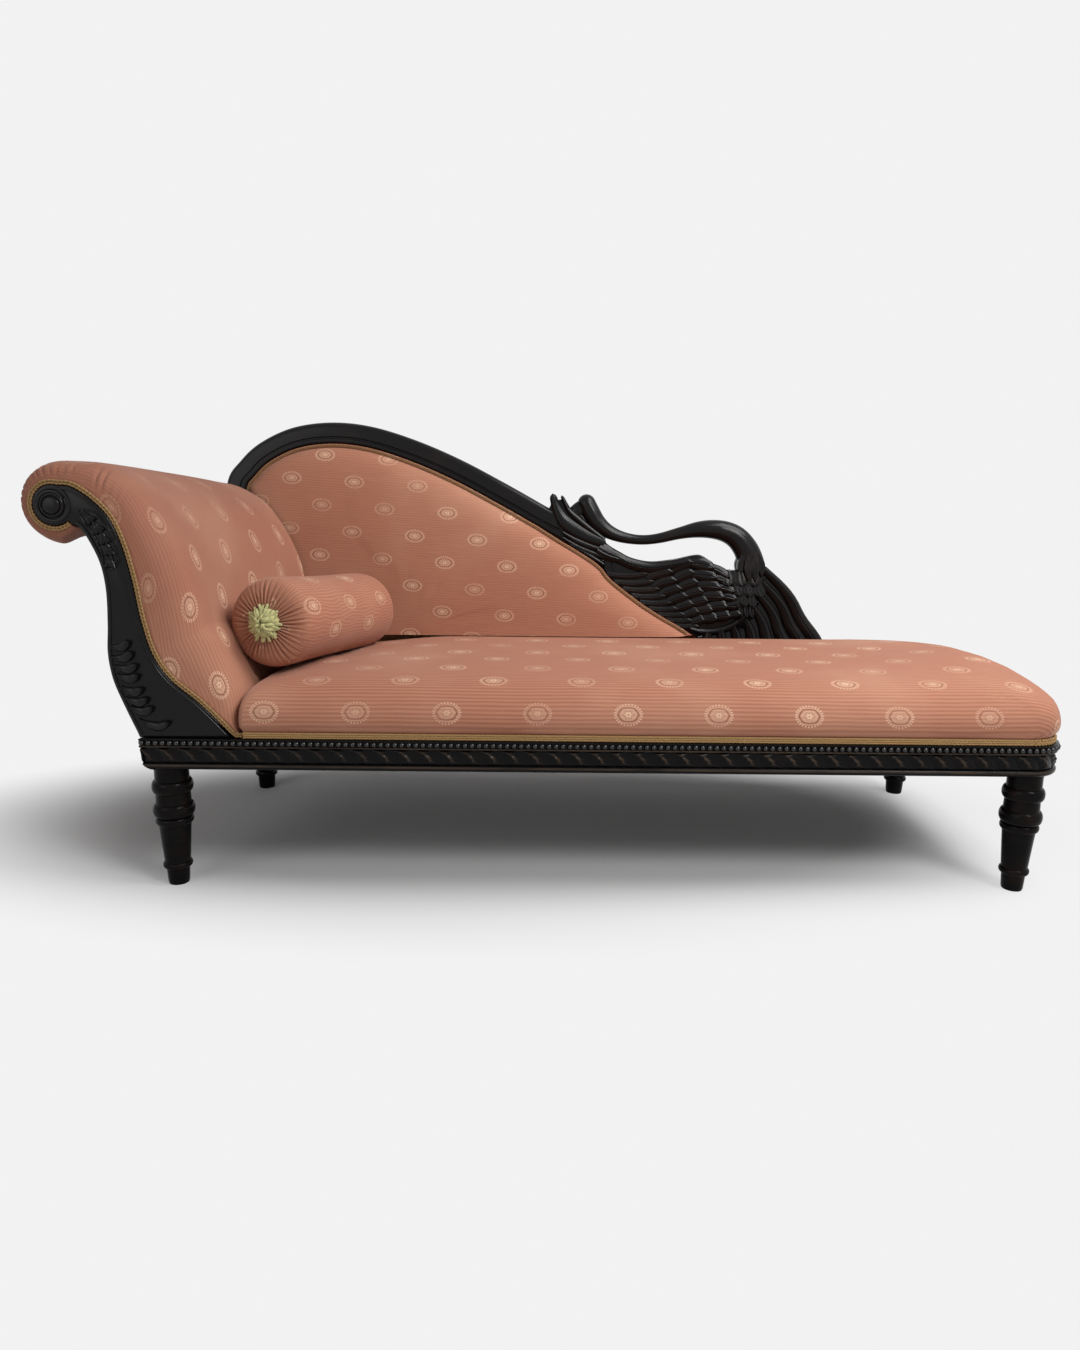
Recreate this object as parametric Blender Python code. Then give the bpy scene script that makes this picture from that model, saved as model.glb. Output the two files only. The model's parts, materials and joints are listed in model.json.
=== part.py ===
# A chaise longue with one scrolled head end, a low shaped back that runs down into a carved swan,
# a sprung seat on turned legs and a loose bolster. Metres, +Z up, +X to the foot, +Y to the back.
# The origin is on the floor, under the middle of the whole piece.
import bpy
import bmesh
import math
from mathutils import Matrix, Vector

# Fits
CLEARANCE = 0.0003          # gap between pieces that touch
BOLSTER_GAP = 0.0006        # gap round the loose bolster

# Seat frame
SEAT_LENGTH = 1.676         # head rail face to foot rail face
SEAT_DEPTH = 0.636          # front rail face to back rail face
LEG_HEIGHT = 0.230          # floor to the underside of the rails
RAIL_HEIGHT = 0.0575
RAIL_THICKNESS = 0.045
RAIL_FRIEZE_DEPTH = 0.005   # how far the carved band lies back in the front rail
RAIL_TOP_MOULDING = 0.017
RAIL_FOOT_MOULDING = 0.011
BLOCK_WIDTH = 0.078         # square corner block that takes a leg
FOOT_OVERHANG = 0.0245      # how much wider the foot end's blocks are, past their legs
BLOCK_ROUND = 0.055         # rounding of the foot end's outer corners
HEAD_BLOCK_ROUND = 0.006
CROSS_RAIL_WIDTH = 0.050
CROSS_RAIL_HEIGHT = 0.040
TENON_THICKNESS = 0.014
TENON_SHOULDER = 0.012      # rail above and below a tenon
SOCKET_WALL = 0.003         # block between a rail's tenon and a leg's socket
LEG_TENON_RADIUS = 0.016
LEG_TENON_LENGTH = 0.034
LEG_RING_RADIUS = 0.0365    # the widest turned ring
LEG_NECK_RADIUS = 0.0305
LEG_TAPER_TOP = 0.0283
LEG_TAPER_BOTTOM = 0.0237
LEG_FOOT_RADIUS = 0.0190

# Head end: a scrolled facing board front and back, with rails and stuffing between them.
# Places are taken from the head rail's outer face and the top of the rails.
FACING_THICKNESS = 0.040
FACING_SETBACK = 0.007      # front facing behind the front rail's face
VOLUTE_CENTRE = (-0.116, 0.4055)
VOLUTE_RADIUS = 0.0345
ROSETTE_RADIUS = 0.023
ROSETTE_THICKNESS = 0.006
HEAD_FALL = 0.058           # how far the head sinks towards the back, per metre of height
HEAD_RAIL_FIT = 0.0008      # round rail inside the roll's stuffing
PAD_DEPTH_IN_FACING = 0.0098
HEAD_EDGE = 0.012           # stuffing that shows round the front facing
ROLL_CENTRE = (-0.1125, 0.4110)
ROLL_RADIUS = 0.0735
PAD_FRONT_SETBACK = 0.005   # stuffing behind the facing's front face
HEAD_FOOT = 0.174           # where the head's stuffing meets the seat
SLAT_HEIGHT = 0.060
SLAT_LEVEL = 0.180
HEAD_LOWER_RAIL_HEIGHT = 0.050
HEAD_LOWER_RAIL_THICKNESS = 0.026
HEAD_STUFFING_REACH = 0.008 # the stuffing's hidden side past the lower rail
BACK_FACING_REACH = 0.016   # the back facing's foot past the lower rail
COVER_THICKNESS = 0.0025
COVER_INSET = 0.002
COVER_TOP = 0.340           # where the outside cover meets the roll
WEBBING_THICKNESS = 0.002
WEBBING_WIDTH = 0.050
GIMP_RADIUS = 0.004

# Back: a crest rail on a raked post, with the swan at its low end
BACK_SETBACK = 0.046        # back frame's front plane ahead of the back rail's face
BACK_RAKE = 6.0             # degrees
BACK_THICKNESS = 0.032
CREST_WIDTH = 0.050
CREST_HEIGHT = 0.5985       # above the rails
CREST_JOINT = 0.330         # height of the joint between post and crest
LOWER_RAIL_HEIGHT = 0.055
UPRIGHT_WIDTH = 0.042
UPRIGHT_PLACE = 0.400
BACK_BAND_PITCH = 0.125     # between the back's webbing bands
BACK_CROWN = 0.036          # the back's stuffing ahead of its frame
BACK_PAD_SEAT = 0.0177      # the stuffing's depth inside the frame
BACK_PAD_GAP = 0.0015       # the back's stuffing above the seat
BACK_COVER_LAP = 0.015
BREAST_LEVEL = 0.2605       # where the neck stands on the swan's body
NECK_DEPTH = 0.024          # the neck's half depth where it is thickest
TAIL_ROOT = 0.030           # the tail's foot, towards the head from the body's lowest point

# Seat
SEAT_CROWN = 0.107          # top of the seat above the rails
SEAT_OVERHANG = 0.0015      # the seat's fullest line inside the rail's face
SEAT_BULGE = 0.002          # the seat's fullest line past the foot rail's face
SEAT_BACK_GAP = 0.003       # the seat ahead of the back frame
SEAT_HEAD_GAP = 0.002       # the seat beside the head's stuffing
SEAT_BACK_FALL = 0.22       # the back edge's slope, as a share of the front's
SEAT_HEAD_FALL = 0.35
SEAT_DIP = 0.022            # how far the seat sinks at its head end, at the back
SEAT_DIP_START = 0.08       # from the head
SEAT_DIP_LENGTH = 0.26
SEAT_EDGE_INSET = 0.010
SEAT_ROUND = 0.052
SEAT_BACK_CORNER = 0.018
SEAT_HEAD_CORNER = 0.024
HESSIAN_LEVEL = 0.046
HESSIAN_THICKNESS = 0.002
HESSIAN_RIM = 0.026
HESSIAN_FLAT = 0.018        # the rim's width on the rails
HESSIAN_MARGIN = 0.004      # stuffing outside the rim
HESSIAN_SLOPE = 0.060
SEAT_GIMP_HEIGHT = 0.0115
SEAT_GIMP_THICKNESS = 0.003
SEAT_GIMP_START = 0.020     # from the seat's head end
SEAT_GIMP_RETURN = 0.200    # along the back edge, from the foot
SPRING_RADIUS = 0.038
SPRING_WIRE = 0.0022
SPRING_TURNS = 3
SPRING_MARGIN = 0.010
SPRING_COLUMNS = 5
SPRING_ROWS = 2
DUST_COVER_THICKNESS = 0.0015
LINING_INSET = 0.006
WEBBING_LAP = 0.030         # webbing under the rails

# Bolster
BOLSTER_LENGTH = 0.430
BOLSTER_RADIUS = 0.083
BOLSTER_SKEW = 14.5         # degrees, its back end turned towards the foot
BOLSTER_TILT = 3.0          # degrees, its back end sunk
ROSETTE_BOLSTER_RADIUS = 0.028
ROSETTE_BOLSTER_HEIGHT = 0.010

# What follows from them
rail_top = LEG_HEIGHT + RAIL_HEIGHT
tenon_length = BLOCK_WIDTH / 2 - LEG_TENON_RADIUS - SOCKET_WALL
head_rail_radius = VOLUTE_RADIUS - PAD_DEPTH_IN_FACING - HEAD_RAIL_FIT
rake_slope = math.tan(math.radians(BACK_RAKE))
head_reach = ROLL_RADIUS - ROLL_CENTRE[0]
frame_left = head_reach - (SEAT_LENGTH + head_reach + SEAT_BULGE) / 2
frame_right = frame_left + SEAT_LENGTH
whole_depth = SEAT_DEPTH - BACK_SETBACK + rake_slope * CREST_HEIGHT + BACK_THICKNESS
frame_front = -whole_depth / 2
frame_back = frame_front + SEAT_DEPTH
back_plane = frame_back - BACK_SETBACK
head_front = frame_front + FACING_SETBACK
head_back = back_plane - CLEARANCE
pad_front = head_front + PAD_FRONT_SETBACK
pad_back = head_back - FACING_THICKNESS - CLEARANCE
seat_left = frame_left + HEAD_FOOT + SEAT_HEAD_GAP
seat_back = back_plane - SEAT_BACK_GAP

EBONISED = ((0.020, 0.018, 0.017), 0.34)
PLAIN_WOOD = ((0.33, 0.21, 0.11), 0.60)
COVER = ((0.55, 0.29, 0.22), 0.85)
BRAID = ((0.50, 0.33, 0.11), 0.75)
HESSIAN = ((0.42, 0.33, 0.20), 0.95)
LINING = ((0.05, 0.05, 0.05), 0.95)
TUFT = ((0.62, 0.60, 0.26), 0.90)
STEEL = ((0.45, 0.44, 0.42), 0.40)


# Lines in the plane of the front view

def smooth(points, steps):
    # A Catmull-Rom curve through the points.
    ends = [points[0]] + list(points) + [points[-1]]
    line = []
    for a, b, c, d in zip(ends, ends[1:], ends[2:], ends[3:]):
        for step in range(steps):
            t = step / steps
            line.append(tuple(
                0.5 * (2 * q + (r - p) * t + (2 * p - 5 * q + 4 * r - s) * t * t
                       + (3 * q - p - 3 * r + s) * t ** 3)
                for p, q, r, s in zip(a, b, c, d)))
    line.append(tuple(points[-1]))
    return line


def arc(centre, radius, start, end, steps):
    # Points on a circle, from one angle to another, in degrees.
    line = []
    for step in range(steps + 1):
        angle = math.radians(start + (end - start) * step / steps)
        line.append((centre[0] + radius * math.cos(angle), centre[1] + radius * math.sin(angle)))
    return line


def offset(line, distance):
    # The line moved sideways, to its left for a positive distance.
    moved = []
    for i, (x, z) in enumerate(line):
        before = line[max(i - 1, 0)]
        after = line[min(i + 1, len(line) - 1)]
        dx = after[0] - before[0]
        dz = after[1] - before[1]
        length = math.hypot(dx, dz)
        moved.append((x - dz / length * distance, z + dx / length * distance))
    return moved


def spaced(line, count):
    # The same line with evenly spaced points.
    lengths = [0.0]
    for a, b in zip(line, line[1:]):
        lengths.append(lengths[-1] + math.dist(a, b))
    points = []
    span = 0
    for i in range(count):
        target = lengths[-1] * i / (count - 1)
        while span < len(line) - 2 and lengths[span + 1] < target:
            span += 1
        t = (target - lengths[span]) / (lengths[span + 1] - lengths[span])
        points.append(tuple(p + (q - p) * t for p, q in zip(line[span], line[span + 1])))
    return points


def height_at(line, x):
    # The highest crossing of a line with one upright.
    found = []
    for (x0, z0), (x1, z1) in zip(line, line[1:]):
        if min(x0, x1) <= x <= max(x0, x1) and x0 != x1:
            found.append(z0 + (z1 - z0) * (x - x0) / (x1 - x0))
    return max(found)


def across_at(line, z):
    # The crossing of a line with one level, nearest the line's end.
    found = 0.0
    for (x0, z0), (x1, z1) in zip(line, line[1:]):
        if min(z0, z1) <= z <= max(z0, z1) and z0 != z1:
            found = x0 + (x1 - x0) * (z - z0) / (z1 - z0)
    return found


def clip(line, low, high=1.0):
    # The part of a line between two levels, with points where it crosses them.
    kept = []
    for (x0, z0), (x1, z1) in zip(line, line[1:]):
        if low <= z0 <= high:
            kept.append((x0, z0))
        crossings = [level for level in (low, high) if min(z0, z1) < level < max(z0, z1)]
        for level in sorted(crossings, reverse=z1 < z0):
            kept.append((x0 + (x1 - x0) * (level - z0) / (z1 - z0), level))
    if low <= line[-1][1] <= high:
        kept.append(line[-1])
    return kept


# Solids

def new_object(name, bm, finish, smooth_angle=35.0):
    bmesh.ops.recalc_face_normals(bm, faces=bm.faces)
    mesh = bpy.data.meshes.new(name)
    bm.to_mesh(mesh)
    bm.free()
    mesh.shade_smooth()
    mesh.set_sharp_from_angle(angle=math.radians(smooth_angle))
    piece = bpy.data.objects.new(name, mesh)
    bpy.context.scene.collection.objects.link(piece)
    if finish is None:
        piece.hide_render = True
        piece.display_type = 'WIRE'
        return piece
    material = bpy.data.materials.new(name)
    material.use_nodes = True
    shader = material.node_tree.nodes["Principled BSDF"]
    shader.inputs["Base Color"].default_value = (*finish[0], 1.0)
    shader.inputs["Roughness"].default_value = finish[1]
    shader.inputs["Metallic"].default_value = 1.0 if finish is STEEL else 0.0
    mesh.materials.append(material)
    return piece


def cut(piece, cutter):
    modifier = piece.modifiers.new("cut_" + cutter.name, 'BOOLEAN')
    modifier.operation = 'DIFFERENCE'
    modifier.object = cutter


def loft(bm, rings):
    # A closed skin through rings of points, with a flat face at each end.
    rows = [[bm.verts.new(point) for point in ring] for ring in rings]
    for low, high in zip(rows, rows[1:]):
        for i in range(len(low)):
            j = (i + 1) % len(low)
            bm.faces.new((low[i], low[j], high[j], high[i]))
    bm.faces.new(rows[0][::-1])
    bm.faces.new(rows[-1])
    return bm


def box(bm, low, high):
    ring = [(low[0], low[1]), (high[0], low[1]), (high[0], high[1]), (low[0], high[1])]
    return loft(bm, [[(x, y, level) for x, y in ring] for level in (low[2], high[2])])


def net(columns, rows, x_ends, y_ends, z_low, z_high):
    # Flat bands crossing at right angles, as one sheet: bands along Y at the columns, along X at the rows.
    half = WEBBING_WIDTH / 2
    x_cuts = sorted([x - half for x in columns] + [x + half for x in columns] + list(x_ends))
    y_cuts = sorted([y - half for y in rows] + [y + half for y in rows] + list(y_ends))
    filled = set()
    for i in range(len(x_cuts) - 1):
        for j in range(len(y_cuts) - 1):
            x = (x_cuts[i] + x_cuts[i + 1]) / 2
            y = (y_cuts[j] + y_cuts[j + 1]) / 2
            if min(abs(x - c) for c in columns) < half or min(abs(y - r) for r in rows) < half:
                filled.add((i, j))
    bm = bmesh.new()
    corners = {}

    def corner(i, j, z):
        if (i, j, z) not in corners:
            corners[i, j, z] = bm.verts.new((x_cuts[i], y_cuts[j], z))
        return corners[i, j, z]

    for i, j in filled:
        square = [(i, j), (i + 1, j), (i + 1, j + 1), (i, j + 1)]
        bm.faces.new([corner(*point, z_high) for point in square])
        bm.faces.new([corner(*point, z_low) for point in square[::-1]])
        beside = [(i, j - 1), (i + 1, j), (i, j + 1), (i - 1, j)]
        for side, neighbour in enumerate(beside):
            if neighbour not in filled:
                a = square[side]
                b = square[(side + 1) % 4]
                bm.faces.new((corner(*a, z_low), corner(*b, z_low), corner(*b, z_high), corner(*a, z_high)))
    return bm


def rod(bm, start, end, radius, sides):
    # A straight round bar.
    start = Vector(start)
    end = Vector(end)
    turn = (end - start).to_track_quat('Z', 'Y')
    circle = [turn @ Vector((*point, 0.0)) for point in arc((0, 0), radius, 0, 360, sides)[:-1]]
    return loft(bm, [[centre + point for point in circle] for centre in (start, end)])


def board(outline, y_low, y_high):
    # An outline in the front view, given from the head rail and the rail tops, as a flat board.
    rings = []
    for y in (y_low, y_high):
        rings.append([(frame_left + x, y, rail_top + z) for x, z in outline])
    return loft(bmesh.new(), rings)


def turned(profile, sides):
    # Radii and heights turned about the upright axis.
    rings = []
    for radius, z in profile:
        rings.append([(x, y, z) for x, y in arc((0, 0), radius, 0, 360, sides)[:-1]])
    return loft(bmesh.new(), rings)


def lean_head(bm):
    # Moves the head end so that its back follows the raked back and sinks a little.
    for vert in bm.verts:
        share = (vert.co.y - head_front) / (head_back - head_front)
        height = max(vert.co.z - rail_top, 0.0)
        sunk = share * height * HEAD_FALL
        vert.co.y += share * (height - sunk) * rake_slope
        vert.co.z -= sunk
    return bm


def rake_back(bm):
    # Moves a piece whose depth is counted from the back frame's front plane.
    for vert in bm.verts:
        vert.co.y += back_plane + (vert.co.z - rail_top) * rake_slope
    return bm


def tube(path, radii, depth_limit, sides):
    # A round bar with a changing radius along a path in the front view, flattened where it is thick.
    rings = []
    for i, (x, z) in enumerate(path):
        before = path[max(i - 1, 0)]
        after = path[min(i + 1, len(path) - 1)]
        length = math.dist(before, after)
        across = (-(after[1] - before[1]) / length, (after[0] - before[0]) / length)
        ring = []
        for u, d in arc((0, 0), 1.0, 0, 360, sides)[:-1]:
            deep = min(radii[i], depth_limit)
            ring.append((frame_left + x + across[0] * u * radii[i], d * deep,
                         rail_top + z + across[1] * u * radii[i]))
        rings.append(ring)
    return loft(bmesh.new(), rings)


# The lines that the head and the back share

# Inner edge of the scrolled facing: round the volute, then down to the front rail.
volute_start = -50.0
volute_end = -285.0
facing_edge = [(-0.083, 0.4365), (-0.052, 0.4165), (-0.024, 0.3855), (-0.006, 0.3405), (0.007, 0.2805),
               (0.017, 0.2115), (0.033, 0.1505), (0.061, 0.1055), (0.111, 0.0615), (0.168, 0.0)]
volute = arc(VOLUTE_CENTRE, VOLUTE_RADIUS, volute_start, volute_end, 14)
inner_edge = volute + spaced(smooth([volute[-1]] + facing_edge, 4), 22)[1:]

# Outer edge: from under the volute to the head rail.
outer_edge = smooth([(-0.081, 0.3745), (-0.066, 0.3565), (-0.046, 0.3110), (-0.039, 0.2625),
                     (-0.041, 0.2025), (-0.045, 0.1525), (-0.040, 0.1075), (-0.026, 0.0650), (0.0, 0.0)], 3)

# The stuffing's full section: round the roll, then down to the seat.
roll_start = (outer_edge[0][0] + 0.006, outer_edge[0][1] - 0.007)
roll = [roll_start] + arc(ROLL_CENTRE, ROLL_RADIUS, -98.0, -270.0, 13)
full_section = roll + spaced(smooth([
    roll[-1], (-0.022, 0.4790), (0.030, 0.4615), (0.081, 0.4230), (0.128, 0.3490), (0.155, 0.2770),
    (0.163, 0.2100), (0.158, 0.1500), (0.161, 0.1100), (HEAD_FOOT, 0.0700), (HEAD_FOOT, CLEARANCE)
], 4), 22)[1:]

# How far the stuffing has swelled from the facing's edge to that section, at shares of the depth:
# first at the roll and foot, then under the roll, then beside the bolster.
head_stations = (
    (0.0, 0.0, 0.0, 0.0), (0.010, 0.46, 0.46, 0.24), (0.032, 0.76, 0.76, 0.42), (0.070, 0.95, 0.90, 0.55),
    (0.14, 1.0, 0.40, 0.57), (0.26, 1.0, 0.30, 0.57), (0.40, 1.0, 0.30, 0.64), (0.60, 1.0, 0.30, 0.80),
    (0.80, 1.0, 0.30, 0.92), (1.0, 1.0, 0.30, 1.0))

# The outside of the post and crest rail, and the opening that they leave.
crest_line = smooth([(0.0, CLEARANCE), (-0.012, 0.170), (-0.040, 0.330), (-0.036, 0.4535),
                     (-0.002, 0.5075), (0.047, 0.5505), (0.123, 0.5855), (0.213, CREST_HEIGHT),
                     (0.308, 0.5905), (0.413, 0.5605), (0.521, 0.5165), (0.628, 0.4625),
                     (0.735, 0.4045)], 4)
crest_inside = offset(crest_line, -CREST_WIDTH)

# The swan's outline: the wing tips, the wing's top, the breast, the tail and the edge beside the back.
wing_tips = [(0.739, 0.4300), (0.744, 0.4375), (0.754, 0.4285), (0.765, 0.4325), (0.788, 0.4095),
             (0.818, 0.3795), (0.845, 0.3525)]
wing_joint = 0.8685
wing_top = smooth([(wing_joint, 0.3290), (0.888, 0.3150), (0.907, 0.3040), (0.936, 0.2885), (0.980, 0.2795),
                   (1.028, 0.2845), (1.093, 0.2985), (1.115, 0.2925), (1.133, 0.2785),
                   (1.143, BREAST_LEVEL)], 2)
breast = smooth([(1.2625, BREAST_LEVEL), (1.253, 0.1975), (1.217, 0.1475), (1.163, 0.1175),
                 (1.099, 0.0975)], 2)
tail_edge = smooth([(1.2635, BREAST_LEVEL - 0.016), (1.309, 0.2205), (1.337, 0.1875), (1.361, 0.1445),
                    (1.397, 0.0985), (1.412, 0.060), (1.415, CLEARANCE)], 2)
swan_edge = smooth([(0.762, 0.3295), (0.815, 0.2990), (0.860, 0.2685), (0.889, 0.2355), (0.958, 0.1835),
                    (1.007, 0.1525), (1.057, 0.1245), (1.099, 0.0975)], 2)
neck_path = [(0.810, 0.4255), (0.824, 0.4115), (0.842, 0.3870), (0.866, 0.3570), (0.898, 0.3390),
             (0.933, 0.3325), (0.968, 0.3315), (1.005, 0.3365), (1.053, 0.3495), (1.098, 0.3595),
             (1.136, 0.3605), (1.168, 0.3535), (1.193, 0.3375), (1.213, 0.3105), (1.225, 0.2805),
             (1.229, 0.2400)]
neck_radii = [0.0095, 0.0190, 0.0175, 0.0140, 0.0120, 0.0105, 0.0102, 0.0105, 0.0120, 0.0160, 0.0200,
              0.0230, 0.0255, 0.0285, 0.0315, 0.0330]
panel_edge = crest_inside + swan_edge


# Seat frame

def leg_profile():
    # From the tenon down to the foot: radius, height.
    ring = LEG_RING_RADIUS
    neck = LEG_NECK_RADIUS
    top = LEG_HEIGHT - CLEARANCE
    middle = ring - 0.003
    small = LEG_TAPER_BOTTOM + 0.002
    return [
        (LEG_TENON_RADIUS, LEG_HEIGHT + LEG_TENON_LENGTH), (LEG_TENON_RADIUS, top),
        (neck, top), (neck, top - 0.022), (middle, top - 0.028), (middle + 0.001, top - 0.040),
        (middle - 0.001, top - 0.050), (neck, top - 0.056), (neck, top - 0.070),
        (ring - 0.002, top - 0.076), (ring, top - 0.086), (ring - 0.002, top - 0.096),
        (middle, top - 0.099), (middle - 0.001, top - 0.109), (LEG_TAPER_TOP, top - 0.112),
        (LEG_TAPER_BOTTOM, 0.054), (small, 0.050), (small + 0.0007, 0.040), (small, 0.030),
        (LEG_FOOT_RADIUS + 0.0017, 0.026), (LEG_FOOT_RADIUS, 0.0)]


def seat_frame():
    inner = BLOCK_WIDTH + CLEARANCE
    half_block = BLOCK_WIDTH / 2
    leg_x = (frame_left + half_block, frame_right - FOOT_OVERHANG - half_block)
    leg_y = (frame_front + half_block, frame_back - half_block)

    # A rail runs between two blocks and enters each with a tenon. Its section is given as distance
    # in from the outer face and height, and the tenon's section has as many points.
    middle = RAIL_THICKNESS / 2
    tenon_low = LEG_HEIGHT + TENON_SHOULDER
    tenon_high = rail_top - TENON_SHOULDER
    near = middle - TENON_THICKNESS / 2
    far = middle + TENON_THICKNESS / 2
    plain = [(0.0, LEG_HEIGHT), (RAIL_THICKNESS, LEG_HEIGHT), (RAIL_THICKNESS, rail_top), (0.0, rail_top)]
    plain_tenon = [(near, tenon_low), (far, tenon_low), (far, tenon_high), (near, tenon_high)]
    # The front rail has a top moulding, a sunk band that is carved, and a foot moulding.
    step = RAIL_FRIEZE_DEPTH
    band_top = rail_top - RAIL_TOP_MOULDING
    band_foot = LEG_HEIGHT + RAIL_FOOT_MOULDING
    moulded = plain + [(0.0, band_top), (step, band_top - step / 2), (step, band_foot + step / 2),
                       (0.0, band_foot)]
    heights = [tenon_low + (tenon_high - tenon_low) * share for share in (0.8, 0.6, 0.4, 0.2)]
    moulded_tenon = plain_tenon + [(near, height) for height in heights]

    mortises = bmesh.new()
    rails = (("front_rail", frame_front, 1, False), ("back_rail", frame_back, -1, False),
             ("head_rail", frame_left, 1, True), ("foot_rail", frame_right, -1, True))
    for name, face, way, crosswise in rails:
        section = moulded if name == "front_rail" else plain
        tenon = moulded_tenon if name == "front_rail" else plain_tenon
        ends = (frame_front, frame_back) if crosswise else (frame_left, frame_right - FOOT_OVERHANG)
        start = ends[0] + inner
        stop = ends[1] - inner
        rings = []
        stations = ((start - tenon_length, tenon), (start, tenon), (start, section), (stop, section),
                    (stop, tenon), (stop + tenon_length, tenon))
        for along, points in stations:
            if crosswise:
                rings.append([(face + way * depth, along, z) for depth, z in points])
            else:
                rings.append([(along, face + way * depth, z) for depth, z in points])
        new_object(name, loft(bmesh.new(), rings), EBONISED)
        spare = CLEARANCE
        for low, high in ((start - tenon_length - spare, start), (stop, stop + tenon_length + spare)):
            sides = sorted((face + way * (near - spare), face + way * (far + spare)))
            if crosswise:
                box(mortises, (sides[0], low, tenon_low - spare), (sides[1], high, tenon_high + spare))
            else:
                box(mortises, (low, sides[0], tenon_low - spare), (high, sides[1], tenon_high + spare))
    tenon_spaces = new_object("tenon_spaces", mortises, None)

    # Corner blocks and legs. The foot end's outer corners are rounded.
    sockets = bmesh.new()
    for x in leg_x:
        for y in leg_y:
            rod(sockets, (x, y, LEG_HEIGHT - 0.01), (x, y, LEG_HEIGHT + LEG_TENON_LENGTH + CLEARANCE),
                LEG_TENON_RADIUS + CLEARANCE, 16)
    leg_sockets = new_object("leg_sockets", sockets, None)
    leg_mesh = None
    for x, side in zip(leg_x, ("head", "foot")):
        for y, face in zip(leg_y, ("front", "back")):
            sign = 1 if side == "foot" else -1
            out = -1 if face == "front" else 1
            outer = half_block + (FOOT_OVERHANG if side == "foot" else 0.0)
            outline = [(-half_block * sign, half_block * out), (-half_block * sign, -half_block * out),
                       (outer * sign, -half_block * out)]
            rounding = BLOCK_ROUND if side == "foot" else HEAD_BLOCK_ROUND
            corner = (outer - rounding, half_block - rounding)
            outline.extend((u * sign, v * out) for u, v in arc(corner, rounding, 0, 90, 6))
            bm = loft(bmesh.new(), [[(x + u, y + v, z) for u, v in outline] for z in (LEG_HEIGHT, rail_top)])
            block = new_object("corner_block_%s_%s" % (side, face), bm, EBONISED)
            cut(block, tenon_spaces)
            cut(block, leg_sockets)
            name = "leg_%s_%s" % (side, face)
            if leg_mesh is None:
                leg = new_object(name, turned(leg_profile(), 16), EBONISED)
                leg_mesh = leg.data
            else:
                leg = bpy.data.objects.new(name, leg_mesh)
                bpy.context.scene.collection.objects.link(leg)
            leg.location = (x, y, 0.0)

    # Rail across the frame, under the joint of head and seat.
    right = frame_left + HEAD_FOOT + CROSS_RAIL_WIDTH / 2
    inside = RAIL_THICKNESS + CLEARANCE
    low = (right - CROSS_RAIL_WIDTH, frame_front + inside, rail_top - CROSS_RAIL_HEIGHT)
    high = (right, frame_back - inside, rail_top)
    new_object("head_cross_rail", box(bmesh.new(), low, high), PLAIN_WOOD)


# Head end

def facing_space():
    # The scrolled board's outline, a little larger all round and open below.
    inner = offset(inner_edge, 2 * CLEARANCE)
    outer = offset(outer_edge, -2 * CLEARANCE)
    below = -2 * CLEARANCE
    return inner + [(inner[-1][0], below), (outer[-1][0], below)] + outer[::-1]


def head_section(at_roll, under_roll, at_bolster):
    # The stuffing's section at one depth, as an outside line and the line of its hidden side.
    edge = offset(inner_edge, HEAD_EDGE)
    hidden = []
    for x, z in offset(inner_edge, -PAD_DEPTH_IN_FACING):
        hidden.append((min(x, HEAD_LOWER_RAIL_THICKNESS + HEAD_STUFFING_REACH), max(z, CLEARANCE)))
    outside = []
    for i, (a, b) in enumerate(zip(edge, full_section)):
        # The first points lie under the roll; halfway between the roll and the foot is the bolster.
        under = min(max((7 - i) / 3, 0.0), 1.0)
        low = min(max((i / (len(edge) - 1) - 0.45) / 0.45, 0.0), 1.0)
        beside = min(1.4 * math.sin(math.pi * low), 1.0)
        swell = at_roll + under * (under_roll - at_roll) + beside * (at_bolster - at_roll)
        outside.append((a[0] + (b[0] - a[0]) * swell, max(a[1] + (b[1] - a[1]) * swell, CLEARANCE)))
    return outside, hidden


def head_pad_rings():
    rings = []
    for share, at_roll, under_roll, at_bolster in head_stations:
        y = pad_front + (pad_back - pad_front) * share
        outside, hidden = head_section(at_roll, under_roll, at_bolster)
        rings.append([(frame_left + x, y, rail_top + z) for x, z in outside + hidden[::-1]])
    return rings


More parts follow.
